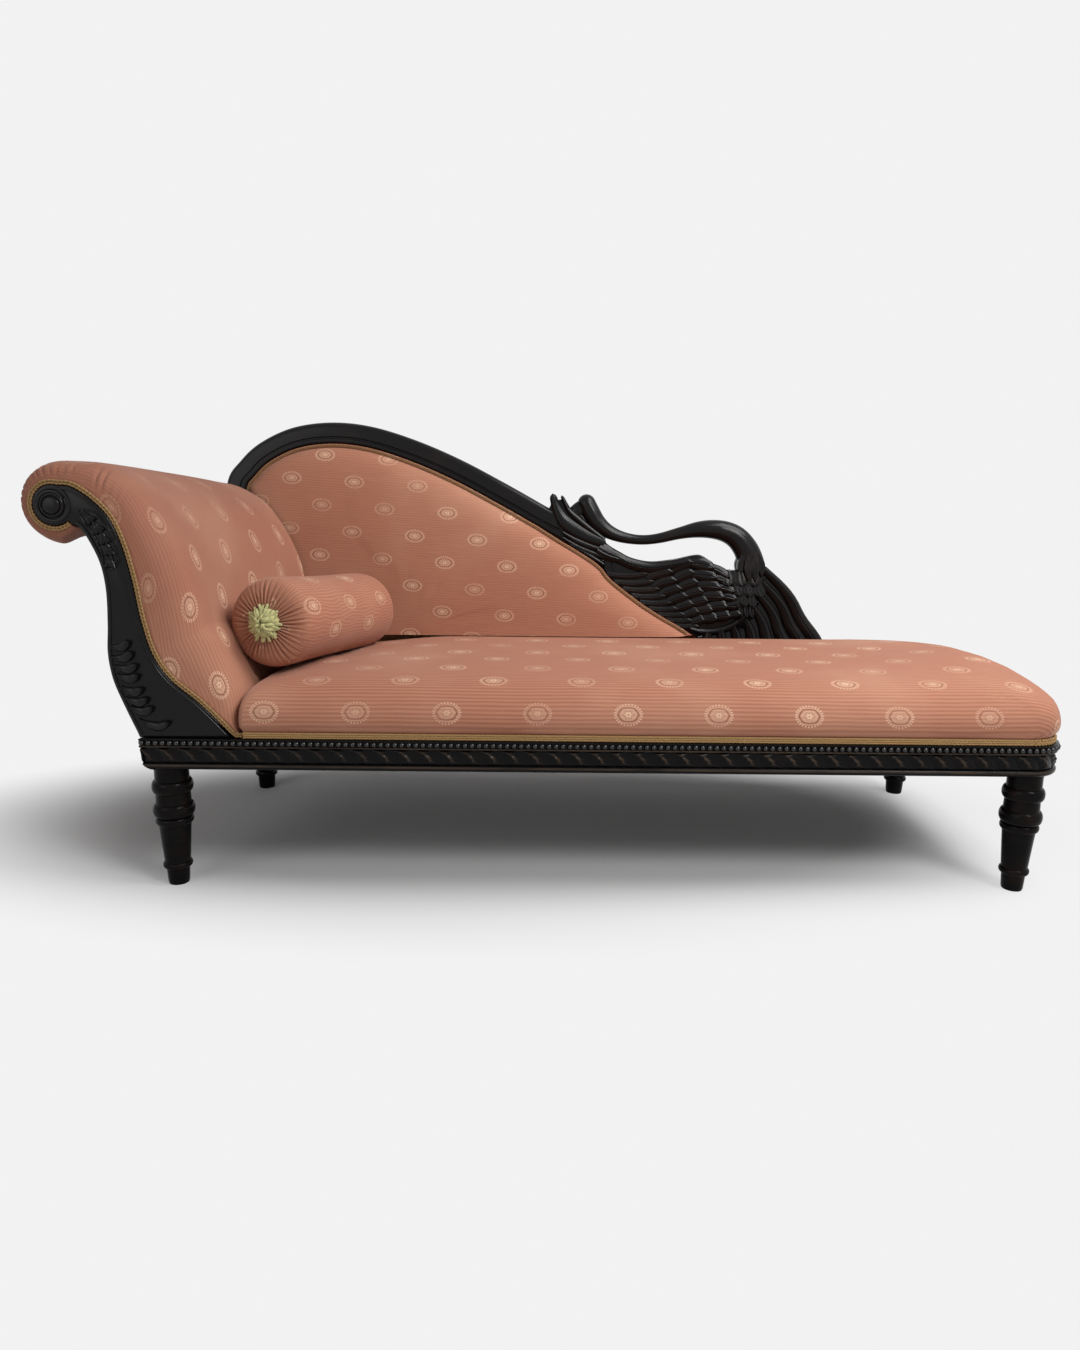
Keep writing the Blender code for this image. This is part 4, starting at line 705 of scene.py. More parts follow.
def makeBackPad():
    # Rings from the frame forward, each drawn towards the foot of the panel as it crowns.
    look = backPad
    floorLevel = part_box("back_pad")[0].z - railTop - 0.0013
    outline = beside(panelEdge, -look["gap"])
    outline = even(outline[outline[:, 1] > floorLevel], 260)
    inner = beside(outline, -look["margin"])
    inner[:, 1] = np.maximum(inner[:, 1], floorLevel)
    ring, margin = (closedFoot(line, floorLevel, 60) for line in (outline, inner))
    centre = np.array([look["centre"], floorLevel])
    table = flow(look["swell"], 34)
    shrunk = centre + (margin - centre)[None] * table[:, 0, None, None]
    plan = np.concatenate([ring[None], ring[None], shrunk])
    depth = np.concatenate([[look["seat"], 0.0], -table[:, 1] * look["crown"]])
    tilt = math.radians(look["tilt"])
    cloth = np.stack([plan[..., 0] * math.cos(tilt) - plan[..., 1] * math.sin(tilt),
                      plan[..., 0] * math.sin(tilt) + plan[..., 1] * math.cos(tilt)], axis=-1)
    mesh = gridMesh("back_panel", rakeBack(placed(plan, depth[:, None])), cloth=cloth)
    fromRim = np.arange(len(plan))[:, None]
    markLoose(mesh, ease((fromRim - 2.0) / 8.0) * ease((plan[..., 1] - floorLevel - 0.015) / 0.06)
              * ease((plan[..., 0] - 0.20) / 0.10))
    piece = addCover("back_panel", finishMesh(mesh, 55.0, 1e-6), backCloth, "back_pad")
    fillPad(piece, look["stuffed"])


bolsterLook = {
    "length": 0.430, "radius": 0.083,
    # depth from the end, and share of the radius
    "end": [(0.0, 0.30), (0.0015, 0.42), (0.004, 0.60), (0.009, 0.79), (0.018, 0.93), (0.033, 0.985),
            (0.07, 1.0)],
    "gathers": 42, "gatherDepth": 0.0056, "fuller": 0.040, "stuffed": 0.003,
}


def bolsterFrame():
    ends = [sum(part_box("bolster_rosette_" + side), Vector()) / 2 for side in ("front", "back")]
    centre = (ends[0] + ends[1]) / 2
    along = (ends[1] - ends[0]).normalized()
    side = Vector((along.y, -along.x, 0.0)).normalized()
    return np.array(centre), np.array(along), np.array(side), np.array(side.cross(along))


def makeBolster():
    # A turned roll whose ends are gathered: creases round each end that fade towards the rim.
    look = bolsterLook
    centre, along, side, above = bolsterFrame()
    half = look["length"] / 2
    end = flow([(depth, share * look["radius"]) for depth, share in look["end"]], 46)
    middle = np.stack([np.linspace(end[-1, 0], 2 * half - end[-1, 0], 60)[1:-1],
                       np.full(58, look["radius"])], axis=1)
    depth = np.concatenate([end[:, 0], middle[:, 0], 2 * half - end[::-1, 0]])
    radius = np.concatenate([end[:, 1], middle[:, 1], end[::-1, 1]])
    angle = np.linspace(0.0, 2 * np.pi, 241)[None, :-1]
    fromEnd = np.minimum(depth, 2 * half - depth)[:, None]
    fold = np.abs(np.sin(angle * look["gathers"] / 2 + 0.7 * np.sin(3 * angle)))
    fade = ease((0.97 + 0.07 * np.sin(5 * angle) - (radius / look["radius"])[:, None]) / 0.50)
    crease = look["gatherDepth"] * (1.0 - fold) ** 1.6
    crease = crease * (fade + 0.10 * ease((0.070 + 0.02 * np.sin(5 * angle) - fromEnd) / 0.06))
    slack = 0.0015 * np.sin(2 * angle + 9.0 * depth[:, None]) * ease(fromEnd / 0.05)
    # The front end is the fuller one.
    full = 1.0 + look["fuller"] * ease(1.0 - depth / (1.2 * half))[:, None]
    r = radius[:, None] * full + slack - 0.5 * crease
    z = depth[:, None] - half + np.sign(half - depth)[:, None] * crease
    grid = (centre + z[..., None] * along + (r * np.cos(angle))[..., None] * side
            + (r * np.sin(angle))[..., None] * above)
    run = runOf(np.column_stack([depth, radius]))
    turn = np.linspace(0.0, 2 * np.pi, 241) * look["radius"]
    cloth = np.stack(np.broadcast_arrays(run[:, None], turn[None]), axis=-1)
    mesh = gridMesh("bolster_roll", grid, cloth=cloth)
    markLoose(mesh, ease((fromEnd - 0.004) / 0.05) * ease((np.sin(angle) + 0.40) / 0.7)
              * ease((np.cos(angle) + 0.85) / 0.6))
    piece = addPiece("bolster_roll", finishMesh(mesh, 60.0), bolsterCloth, ("bolster",),
                     "bolster")
    fillPad(piece, look["stuffed"])


makeSeat()
makeHeadrest()
makeBackPad()
makeBolster()
print("soft pieces made")


# Carved and turned wood

def ringInset(outline, distance):
    # A closed outline moved inwards.
    way = np.roll(outline, -1, axis=0) - np.roll(outline, 1, axis=0)
    way /= np.linalg.norm(way, axis=1, keepdims=True)
    x, z = outline.T
    turn = np.sign(np.sum(x * np.roll(z, -1) - np.roll(x, -1) * z))
    return outline + distance * turn * aside(way)


def plateGrid(outline, low, high, edge, steps=4):
    # One outline over a plate's two rounded edges, each a quarter circle.
    angle = np.linspace(np.pi / 2, 0.0, steps)
    inset = edge * (1.0 - np.cos(angle))
    depth = edge * (1.0 - np.sin(angle))
    rings = np.stack([ringInset(outline, d) for d in inset])
    return placed(np.concatenate([rings, rings[::-1]]),
                  np.concatenate([low + depth, high - depth[::-1]])[:, None])


def bladeMesh(name, grids):
    # Many closed blades at once: each is a grid that wraps over its columns and is capped at both ends.
    count, rows, cols = grids.shape[:3]
    i, j = np.meshgrid(np.arange(rows - 1), np.arange(cols), indexing="ij")
    one = np.stack([i * cols + j, i * cols + (j + 1) % cols, (i + 1) * cols + (j + 1) % cols,
                    (i + 1) * cols + j], axis=-1).reshape(1, -1, 4)
    start = (np.arange(count) * rows * cols)[:, None, None]
    ends = np.arange(cols)[None] + start[:, :, 0]
    faces = (one + start).reshape(-1, 4).tolist() + ends[:, ::-1].tolist()
    faces += (ends + (rows - 1) * cols).tolist()
    mesh = bpy.data.meshes.new(name)
    mesh.from_pydata(grids.reshape(-1, 3).tolist(), [], faces)
    return mesh


def tubes(path, radius, depthRadius, around=10):
    # Round sections square to a line in the front view; path is (count, steps, x depth z).
    way = heading(path[..., [0, 2]], -2, 1e-12)
    angle = np.linspace(0.0, 2 * np.pi, around, endpoint=False)
    out = radius[..., None] * np.cos(angle)
    grid = np.repeat(path[..., None, :], around, axis=-2)
    grid[..., 0] += -way[..., None, 1] * out
    grid[..., 2] += way[..., None, 0] * out
    grid[..., 1] -= depthRadius[..., None] * np.sin(angle)
    return grid


railLook = {
    "thick": 0.045, "unit": 0.0385, "lean": 0.022, "relief": 0.0056, "step": 0.0017,
    "beadPitch": 0.0125, "beadRadius": 0.0051, "beadDrop": 0.0079, "beadInset": 0.0020,
    # The first entry on the next line is a painted highlight along the mouldings' outermost crests.
    "mouldingHighlight": 0.9, "under": 0.024, "underStart": 0.033,    # the ends curve in below this drop
    # the section above and below the carved band: inset and drop
    "above": [(0.0020, 0.0), (0.0004, 0.0006), (0.0, 0.0018), (0.0002, 0.0029), (0.0030, 0.0036),
              (0.0038, 0.0080), (0.0030, 0.0122), (0.0003, 0.0130), (0.0, 0.0143), (0.0004, 0.0158),
              (0.0022, 0.0165), (0.0060, 0.0170)],
    "frieze": (0.0174, 0.0452), "ground": 0.0060,
    "below": [(0.0060, 0.0456), (0.0020, 0.0462), (0.0004, 0.0478), (0.0, 0.0506), (0.0008, 0.0540),
              (0.0030, 0.0566), (0.0060, 0.0575)],
}


def friezeRelief(s, t):
    # Leaning leaves: rounded ridges between curved cuts, a sharp rib along each and veins off the rib.
    place = ((s - railLook["lean"] * t - 0.006 * np.sin(np.pi * t)) / railLook["unit"]) % 1.0
    leaf = np.sin(np.pi * place) ** 0.8
    rib = np.exp(-((place - 0.46) / 0.075) ** 2) * np.sin(np.pi * np.clip(t * 1.25, 0.0, 1.0))
    veins = 0.10 * np.sin(2 * np.pi * (3.2 * t - 2.2 * np.abs(place - 0.46)))
    eye = np.exp(-((place - 0.03) / 0.09) ** 2 - ((t - 0.30) / 0.16) ** 2)
    fade = ease(t / 0.10) * ease((1.0 - t) / 0.08)
    return railLook["relief"] * np.clip(leaf * (0.62 + veins) + 0.45 * rib - 0.5 * eye, 0.0, 1.2) * fade


def railPiece(name, node, path, out, run, inside):
    # The rail's section carried along its outer edge; inside gives the hidden edge for each step.
    look = railLook
    t = np.linspace(0.0, 1.0, 15)
    relief = friezeRelief(run[:, None], t[None])
    above, below = np.array(look["above"]), np.array(look["below"])
    top, foot = look["frieze"]
    drop = np.concatenate([above[:, 1], top + t * (foot - top), below[:, 1]])
    steps = len(path)
    inset = np.concatenate([np.broadcast_to(above[:, 0], (steps, len(above))), look["ground"] - relief,
                            np.broadcast_to(below[:, 0], (steps, len(below)))], axis=1)
    plan = path[:, None] - out[:, None] * inset[..., None]
    z = np.broadcast_to(railTop - drop, inset.shape)
    away = np.clip((drop - look["underStart"]) / (drop[-1] - look["underStart"]), 0.0, 1.0)
    cut = look["under"] * (1.0 - np.sqrt(1.0 - away ** 2))
    x = np.minimum(np.maximum(plan[..., 0], headFace + cut), footFace - cut)
    grid = np.stack([x, plan[..., 1], z], axis=-1)
    hidden = np.stack([np.column_stack([inside, np.full(steps, level)]) for level in (railFoot, railTop)],
                      axis=1)
    grid = np.concatenate([grid, hidden], axis=1)
    mesh = gridMesh(name, grid)
    # The carving's relief is marked for a lighter brown: worn polish and painted highlight.
    ridge = np.zeros(grid.shape[:2], np.float32)
    ridge[:, len(above):len(above) + len(t)] = relief / look["relief"]
    outermost = np.concatenate([above[:, 0], np.ones(len(t)), below[:, 0]]) < 0.0005
    # Painted highlight: the outermost crests of the mouldings above and below the carved band are marked for
    # a lighter colour.
    ridge[:, :len(drop)] += look["mouldingHighlight"] * (outermost & (drop > 0.012))
    mesh.attributes.new("ridge", 'FLOAT', 'POINT').data.foreach_set("value", ridge.ravel())
    addWood(name, finishMesh(mesh, 50.0, 1e-6), node, railEbony)


def beadRow(name, path, out, run):
    # Half balls along the rails' groove, at even steps of the running length.
    look = railLook
    places = np.arange(run[0] + look["beadPitch"] / 2, run[-1], look["beadPitch"])
    centre, face = (np.stack([np.interp(places, run, line[:, k]) for k in (0, 1)], axis=1)
                    for line in (path, out))
    face /= np.linalg.norm(face, axis=1, keepdims=True)
    rise, turn = np.linspace(-0.25, np.pi / 2 - 0.10, 5), np.linspace(0.0, 2 * np.pi, 12, endpoint=False)
    side = look["beadRadius"] * np.cos(rise)[:, None] * np.cos(turn)
    up = look["beadRadius"] * np.cos(rise)[:, None] * np.sin(turn)
    ahead = look["beadRadius"] * np.sin(rise)[:, None] + 0.0 * turn - look["beadInset"]
    along = aside(face)
    flat = (centre[:, None, None] + along[:, None, None] * side[None, ..., None]
            + face[:, None, None] * ahead[None, ..., None])
    z = np.broadcast_to(railTop - look["beadDrop"] + up, flat.shape[:3])
    mesh = finishMesh(bladeMesh(name, np.concatenate([flat, z[..., None]], axis=-1)), 60.0)
    addPiece(name, mesh, beadEbony)


def makeRails():
    # Each stretch follows the outer faces of its own rail or block, with mitred or rounded corners.
    look = railLook
    block, rounding = 0.078, 0.073
    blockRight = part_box("corner_block_foot_front")[0].x

    def straight(a, b, out):
        count = max(int(math.dist(a, b) / look["step"]), 2)
        t = np.linspace(0.0, 1.0, count)[:, None]
        line = np.array(a) + (np.array(b) - np.array(a)) * t
        return line, np.broadcast_to(np.array(out, float), (count, 2))

    def bend(centre, start, stop):
        angle = np.radians(np.linspace(start, stop, 48))
        out = spokes(angle)
        return np.array(centre) + rounding * out, out

    gap, mitre = clear, 0.001
    left, front, right, back = headFace, frontFace, footFace, backFace
    corner = (np.array([(left, front)]), np.array([(-1.0, -1.0)]))
    rear = (np.array([(left, back)]), np.array([(-1.0, 1.0)]))
    runs = []
    at = 0.0
    plan = [
        ("head_back_block", "corner_block_head_back",
         [straight((left + block, back), (left + mitre, back), (0, 1)), rear,
          straight((left, back - mitre), (left, back - block), (-1, 0))], (left + block, back - block)),
        ("head_rail_moulded", "head_rail",
         [straight((left, back - block - gap), (left, front + block + gap), (-1, 0))], look["thick"]),
        ("head_front_block", "corner_block_head_front",
         [straight((left, front + block), (left, front + mitre), (-1, 0)), corner,
          straight((left + mitre, front), (left + block, front), (0, -1))], (left + block, front + block)),
        ("front_rail_carved", "front_rail",
         [straight((left + block + gap, front), (blockRight - gap, front), (0, -1))], look["thick"]),
        ("foot_front_block", "corner_block_foot_front",
         [straight((blockRight, front), (right - rounding, front), (0, -1)),
          bend((right - rounding, front + rounding), -90.0, 0.0),
          straight((right, front + rounding), (right, front + block), (1, 0))], (blockRight, front + block)),
        ("foot_rail_carved", "foot_rail",
         [straight((right, front + block + gap), (right, back - block - gap), (1, 0))], look["thick"]),
        ("foot_back_block", "corner_block_foot_back",
         [straight((right, back - block), (right, back - rounding), (1, 0)),
          bend((right - rounding, back - rounding), 0.0, 90.0),
          straight((right - rounding, back), (blockRight, back), (0, 1))], (blockRight, back - block)),
    ]
    # Each entry ends with its hidden edge: one point, or a distance behind the outer faces.
    for name, node, parts, inner in plan:
        path, out = (np.vstack([part[k] for part in parts]) for k in (0, 1))
        run = at + runOf(path)
        hidden = np.broadcast_to(inner, path.shape) if isinstance(inner, tuple) else path - out * inner
        railPiece(name, node, path, out, run, hidden)
        at = run[-1] + gap
        runs.append((path, out, run))
    beadRow("rail_beads", *(np.concatenate([part[k] for part in runs]) for k in range(3)))


legLook = {
    # swells: middle height, half height, radius beside it, greatest radius
    "swells": [(0.1900, 0.0120, 0.0303, 0.0363), (0.1455, 0.0125, 0.0310, 0.0368),
               (0.1248, 0.0068, 0.0298, 0.0335), (0.0376, 0.0058, 0.0226, 0.0262)],
    # the rest of the profile: radius and height
    "necks": [(0.012, 0.2297), (0.0312, 0.2297), (0.0300, 0.2230), (0.0301, 0.2050)],
    "taper": [(0.0287, 0.1172), (0.0280, 0.1120), (0.0231, 0.0480), (0.0226, 0.0440)],
    "foot": [(0.0208, 0.0312), (0.0204, 0.0270), (0.0190, 0.0040), (0.0178, 0.0)],
    "around": 56,
}


def makeLegs():
    # A turned profile: necks, half-round swells, a taper and a foot.
    look = legLook
    angle = np.linspace(np.pi / 2, -np.pi / 2, 13)
    swells = [np.stack([side + (most - side) * np.cos(angle), middle + half * np.sin(angle)], axis=1)
              for middle, half, side, most in look["swells"]]
    profile = np.vstack([look["necks"], *swells[:3], look["taper"], swells[3], look["foot"]])
    ring = spokes(np.linspace(0.0, 2 * np.pi, look["around"], endpoint=False))
    for side in ("head", "foot"):
        for face in ("front", "back"):
            node = "leg_%s_%s" % (side, face)
            low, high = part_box(node)
            middle = np.array([(low.x + high.x) / 2, (low.y + high.y) / 2])
            plan = middle + profile[:, None, :1] * ring[None]
            z = np.broadcast_to(profile[:, None, 1], plan.shape[:2])
            grid = np.concatenate([plan, z[..., None]], axis=-1)
            mesh = finishMesh(gridMesh("turned_" + node, grid), 38.0)
            addWood("turned_" + node, mesh, node, legEbony)


makeRails()
makeLegs()
print("rails and legs made")


# The front scroll

scrollLook = {
    "thick": 0.040, "edge": 0.0035, "rearReach": 0.042,
    "leafLine": [(-0.0680, 0.3960), (-0.0550, 0.3850), (-0.0370, 0.3610), (-0.0255, 0.3300),
                 (-0.0250, 0.3070)],
    "leafRim": [(-0.0737, 0.4002), (-0.0449, 0.3935), (-0.0235, 0.3654), (-0.0105, 0.3320),
                (-0.0125, 0.3108), (-0.0256, 0.2989), (-0.0377, 0.3062), (-0.0384, 0.3231),
                (-0.0503, 0.3567), (-0.0660, 0.3795)],
    "husks": 5, "huskReach": 0.0095, "huskWidth": 0.0056,
    # strokes of the low leaf: root near the outer edge, tip on the board
    "strokes": [((-0.0375, 0.1640), (-0.0035, 0.1690)), ((-0.0365, 0.1456), (0.0010, 0.1494)),
                ((-0.0340, 0.1301), (0.0077, 0.1270)), ((-0.0305, 0.1146), (0.0087, 0.1083)),
                ((-0.0255, 0.0922), (0.0144, 0.0837)), ((-0.0190, 0.0730), (0.0220, 0.0660)),
                ((-0.0125, 0.0563), (0.0294, 0.0499)), ((0.0015, 0.0337), (0.0571, 0.0217))],
    "strokeWidth": 0.0078,
}
bladeAcross = np.array([-1.0, -1.0, -0.80, -0.48, -0.17, -0.05, 0.05, 0.17, 0.48, 0.80, 1.0, 1.0])
cutRise = np.array([-1.0, 0.10, 0.50, 0.84, 1.0, 0.80, 0.80, 1.0, 0.84, 0.50, 0.10, -1.0])
smoothRise = np.where(np.abs(bladeAcross) < 0.1, 1.03, cutRise)


def bladeTaper(steps, root=0.8, tip=0.70):
    # Half widths along a blade: a narrower root and a rounded tip.
    s = np.linspace(0.0, 1.0, steps)
    end = np.sqrt(np.clip(1.0 - (np.clip(s - tip, 0.0, 1.0) / (1.0 - tip)) ** 2, 0.004, 1.0))
    return (root + (1.0 - root) * ease(s / 0.5)) * end


def bent(starts, ends, bow, steps):
    # Lines from starts to ends, bowed sideways by a sine.
    s = np.linspace(0.0, 1.0, steps)
    starts, ends = np.asarray(starts, float), np.asarray(ends, float)
    way = ends - starts
    side = aside(way)
    return (starts[:, None] + way[:, None] * s[:, None]
            + side[:, None] * (np.asarray(bow).reshape(-1, 1) * np.sin(np.pi * s))[..., None])


def blades(lines, widths, lifts, crown, face, sign, swell=None, sink=0.004, cut=1.0):
    # Blades on a face in the front view: rounded across with a cut along the middle; sign -1 lies in front.
    # Widths and lifts are for each step, or one for all.
    widths, lifts = (np.broadcast_to(part, lines.shape[:2]) for part in (widths, lifts))
    bladeRise = smoothRise + cut * (cutRise - smoothRise)
    side = aside(heading(lines, 1, 1e-12))
    plan = lines[:, :, None] + side[:, :, None] * (widths[:, :, None] * bladeAcross)[..., None]
    rise = lifts[:, :, None] + crown * bladeRise
    rise = rise + (swell(plan) if swell else 0.0)
    rise = np.where(bladeRise < 0.0, -sink, rise)
    return placed(plan, face + sign * rise)


def makeScroll():
    # The board, with raised edges, a spiral round the eye, a panel of husks and a low leaf along the outside.
    look = scrollLook
    outline = np.vstack([innerEdge[::2], outerEdge[::-2]])
    board = plateGrid(outline + (0.0, clear), headFront, headFront + look["thick"], look["edge"])
    meshes = [gridMesh("board", leanHead(board))]
    # Raised lines just inside both edges and a spiral into the eye.
    centre = np.array(headLines["voluteCentre"])
    inside = beside(innerEdge[6:], -0.0062)
    outside = beside(outerEdge, 0.0060)
    reach = np.linspace(0.0300, 0.0215, 110)
    spiral = circleAt(centre, reach[:, None], np.linspace(70.0, -330.0, 110))
    for line, radius in ((inside, 0.0021), (outside, 0.0024), (spiral, 0.0034)):
        line = even(line, 130)
        line = line[line[:, 1] > 0.004]
        size = np.full((1, len(line)), radius)
        grid = tubes(placed(line, headFront - 0.0002)[None], size, 0.8 * size, 8)
        meshes.append(bladeMesh("line", leanHead(grid)))
    # Husks: pairs of small leaves off one line, drooping towards the foot, and a round end.
    count = look["husks"]
    stem = flow(look["leafLine"], count * 2 + 1)
    way = heading(stem)
    side = aside(way)
    starts, ends, bows = [], [], []
    for hand in (-1.0, 1.0):
        at = np.arange(0, count * 2 - 1, 2)
        starts.append(stem[at] + hand * 0.0015 * side[at])
        ends.append(stem[at + 2] + hand * look["huskReach"] * side[at + 2] + 0.005 * way[at + 2])
        bows.append(np.full(len(at), -hand * 0.22))
    lines = bent(np.vstack(starts), np.vstack(ends), np.concatenate(bows), 10)
    widths = look["huskWidth"] * bladeTaper(10, 0.5, 0.55)
    lifts = 0.0006 + 0.0022 * np.linspace(0.0, 1.0, 10)
    meshes.append(bladeMesh("husks", blades(lines, widths, lifts, 0.0034, headFront, -1.0)))
    rim = placed(flow(look["leafRim"] + look["leafRim"][:1], 110), headFront - 0.0002)
    size = np.full((1, 110), 0.0021)
    meshes.append(bladeMesh("rim", tubes(rim[None], size, size, 8)))
    # Strokes of the low leaf: each sags a little and curls up at its tip.
    root, tips = (np.array([stroke[k] for stroke in look["strokes"]]) for k in (0, 1))
    t = np.linspace(0.0, 1.0, 16)
    lines = bent(root, tips, -0.10, 16)
    lines[..., 1] += 0.006 * ease((t - 0.6) / 0.4)
    widths = look["strokeWidth"] * bladeTaper(16, 0.45, 0.72)
    lifts = 0.0004 + 0.0052 * ease((t - 0.25) / 0.75)
    meshes.append(bladeMesh("strokes", blades(lines, widths, lifts, 0.0040, headFront, -1.0)))
    addWood("front_scroll", finishMesh(joined("front_scroll", meshes), 45.0), "head_facing_front")
    rear = np.vstack([np.column_stack([np.minimum(innerEdge[:, 0], look["rearReach"]), innerEdge[:, 1]])[::2],
                      outerEdge[::-2]])
    rear = plateGrid(rear + (0.0, clear), headBack - look["thick"], headBack, look["edge"])
    mesh = gridMesh("rear_facing", leanHead(rear))
    addWood("rear_facing", finishMesh(mesh, 45.0), "head_facing_back")
    # The eye: a turned boss of rounds and hollows.
    profile = flow([(0.0004, 0.0072), (0.0080, 0.0068), (0.0130, 0.0050), (0.0150, 0.0022), (0.0162, 0.0018),
                    (0.0178, 0.0042), (0.0200, 0.0030), (0.0212, 0.0006), (0.0214, 0.0)], 40)
    plan = centre + profile[:, None, :1] * spokes(np.linspace(0.0, 2 * np.pi, 48, endpoint=False))[None]
    eye = gridMesh("scroll_eye", placed(plan, headFront - clear - profile[:, 1:]))
    addWood("scroll_eye", finishMesh(eye, 50.0), "volute_rosette")


makeScroll()
print("scroll made")


# The crest and the swan

crestLook = {
    "joint": 0.330,
    # across from the outside, and depth from the front plane
    "section": [(0.0, 0.0150), (0.0008, 0.0085), (0.0030, 0.0040), (0.0070, 0.0010), (0.0120, 0.0),
                (0.0330, 0.0002), (0.0352, 0.0026), (0.0376, 0.0026), (0.0392, 0.0003), (0.0440, 0.0),
                (0.0476, 0.0010), (0.0494, 0.0034), (0.0500, 0.0070), (0.0500, 0.0300), (0.0480, 0.0320),
                (0.0120, 0.0320), (0.0050, 0.0300), (0.0012, 0.0260), (0.0, 0.0210)],
}


def makeCrest():
    # One moulded section carried along the post and the crest rail, parted at their joint.
    line = crestLine
    section = np.array(crestLook["section"])
    inward = -aside(heading(line))
    plan = line[:, None] + inward[:, None] * section[None, :, :1]
    grid = placed(plan, section[:, 1])
    grid[..., 2] = np.maximum(grid[..., 2], railTop + clear)
    at = int(np.argmax(line[:, 1] >= crestLook["joint"]))
    for name, node, part in (("post_moulded", "back_post", grid[:at + 1]),
                             ("crest_moulded", "back_crest_rail", grid[at:])):
        mesh = finishMesh(gridMesh(name, rakeBack(part)), 45.0)
        addWood(name, mesh, node)


swanLook = {
    "tips": [(0.7395, 0.4120), (0.7440, 0.4240), (0.7535, 0.4240), (0.7640, 0.4250), (0.7880, 0.4030),
             (0.8060, 0.3960), (0.8180, 0.3860), (0.8450, 0.3490)],
    "joint": 0.8685,
    "wingTop": [(0.8685, 0.3290), (0.888, 0.3150), (0.907, 0.3040), (0.936, 0.2885), (0.980, 0.2795),
                (1.028, 0.2845), (1.093, 0.2985), (1.115, 0.2925), (1.133, 0.2785), (1.143, 0.2605)],
    "breast": [(1.2625, 0.2605), (1.253, 0.1975), (1.217, 0.1475), (1.163, 0.1175), (1.099, 0.0975)],
    "tailEdge": [(1.2640, 0.2590), (1.309, 0.2205), (1.337, 0.1875), (1.361, 0.1445), (1.397, 0.0985),
                 (1.412, 0.060), (1.415, 0.0003)],
    # the feathers' tips along the tail's foot, after the one that ends the edge
    "tailFoot": [(1.365, 0.006), (1.300, 0.008), (1.230, 0.010), (1.165, 0.010), (1.118, 0.014)],
    # the neck and the bill: place and radius
    "neck": [(0.826, 0.4165, 0.0215), (0.837, 0.3950, 0.0222), (0.852, 0.3725, 0.0208),
             (0.874, 0.3535, 0.0178), (0.902, 0.3405, 0.0146), (0.934, 0.3332, 0.0124),
             (0.968, 0.3313, 0.0117), (1.005, 0.3360, 0.0122), (1.053, 0.3482, 0.0144),
             (1.098, 0.3572, 0.0195), (1.136, 0.3580, 0.0230), (1.168, 0.3515, 0.0256),
             (1.194, 0.3365, 0.0280), (1.215, 0.3105, 0.0302), (1.227, 0.2805, 0.0326),
             (1.2285, 0.2615, 0.0332)],
    "bill": [(0.8230, 0.4120, 0.0180), (0.8046, 0.3985, 0.0185), (0.7903, 0.3912, 0.0140),
             (0.7800, 0.3865, 0.0050)],
    "neckDepth": 0.024,
    "inset": 0.0060,     # feathers stand up from a board that lies this far behind both faces
    # long wing feathers: places from root to tip, and half width
    "primaries": [((0.869, 0.2725), (0.845, 0.2870), (0.820, 0.3010), (0.786, 0.3205), 0.0066),
                  ((0.869, 0.2895), (0.838, 0.2995), (0.806, 0.3125), (0.765, 0.3375), 0.0082),
                  ((0.869, 0.3060), (0.834, 0.3150), (0.800, 0.3290), (0.7645, 0.3505), 0.0084),
                  ((0.869, 0.3230), (0.8235, 0.3394), (0.7742, 0.3702), (0.7540, 0.4020), (0.7432, 0.4385),
                   0.0162),
                  ((0.869, 0.3320), (0.8285, 0.3610), (0.7880, 0.3940), (0.7760, 0.4120), (0.7650, 0.4345),
                   0.0082)],
    # the crest's moulding runs on to the long feathers: its end from the outside to the panel
    "crestEnd": [(0.7400, 0.4020), (0.7610, 0.3590), (0.7635, 0.3300)],
    # row lines of the wing and breast, from the wing's bones to the breast
    "rows": [[(0.972, 0.2520), (0.998, 0.2160), (1.031, 0.1800), (1.065, 0.1520), (1.096, 0.1270)],
             [(1.022, 0.2660), (1.046, 0.2230), (1.078, 0.1840), (1.118, 0.1330)],
             [(1.074, 0.2900), (1.084, 0.2480), (1.106, 0.2060), (1.148, 0.1350)],
             [(1.124, 0.2800), (1.140, 0.2330), (1.158, 0.1910), (1.178, 0.1400)],
             [(1.163, 0.2560), (1.177, 0.2250), (1.190, 0.1880), (1.202, 0.1480)]],
    "rowCounts": (7, 7, 6, 6),
    # the breast's scales hang between these two lines
    "breastLines": [[(1.160, 0.2500), (1.180, 0.2150), (1.190, 0.1800), (1.198, 0.1480)],
                    [(1.256, 0.2500), (1.252, 0.2150), (1.238, 0.1800), (1.214, 0.1480)]],
    "breastTiers": 5, "breastAcross": 3,
    "belly": [(1.082, 0.1200), (1.112, 0.1130), (1.150, 0.1155), (1.186, 0.1290), (1.222, 0.1570)],
}


def bodySwell(plan):
    # The breast is fuller than the wing.
    away = ((plan[..., 0] - 1.17) / 0.10) ** 2 + ((plan[..., 1] - 0.200) / 0.085) ** 2
    return 0.0075 * np.exp(-away)


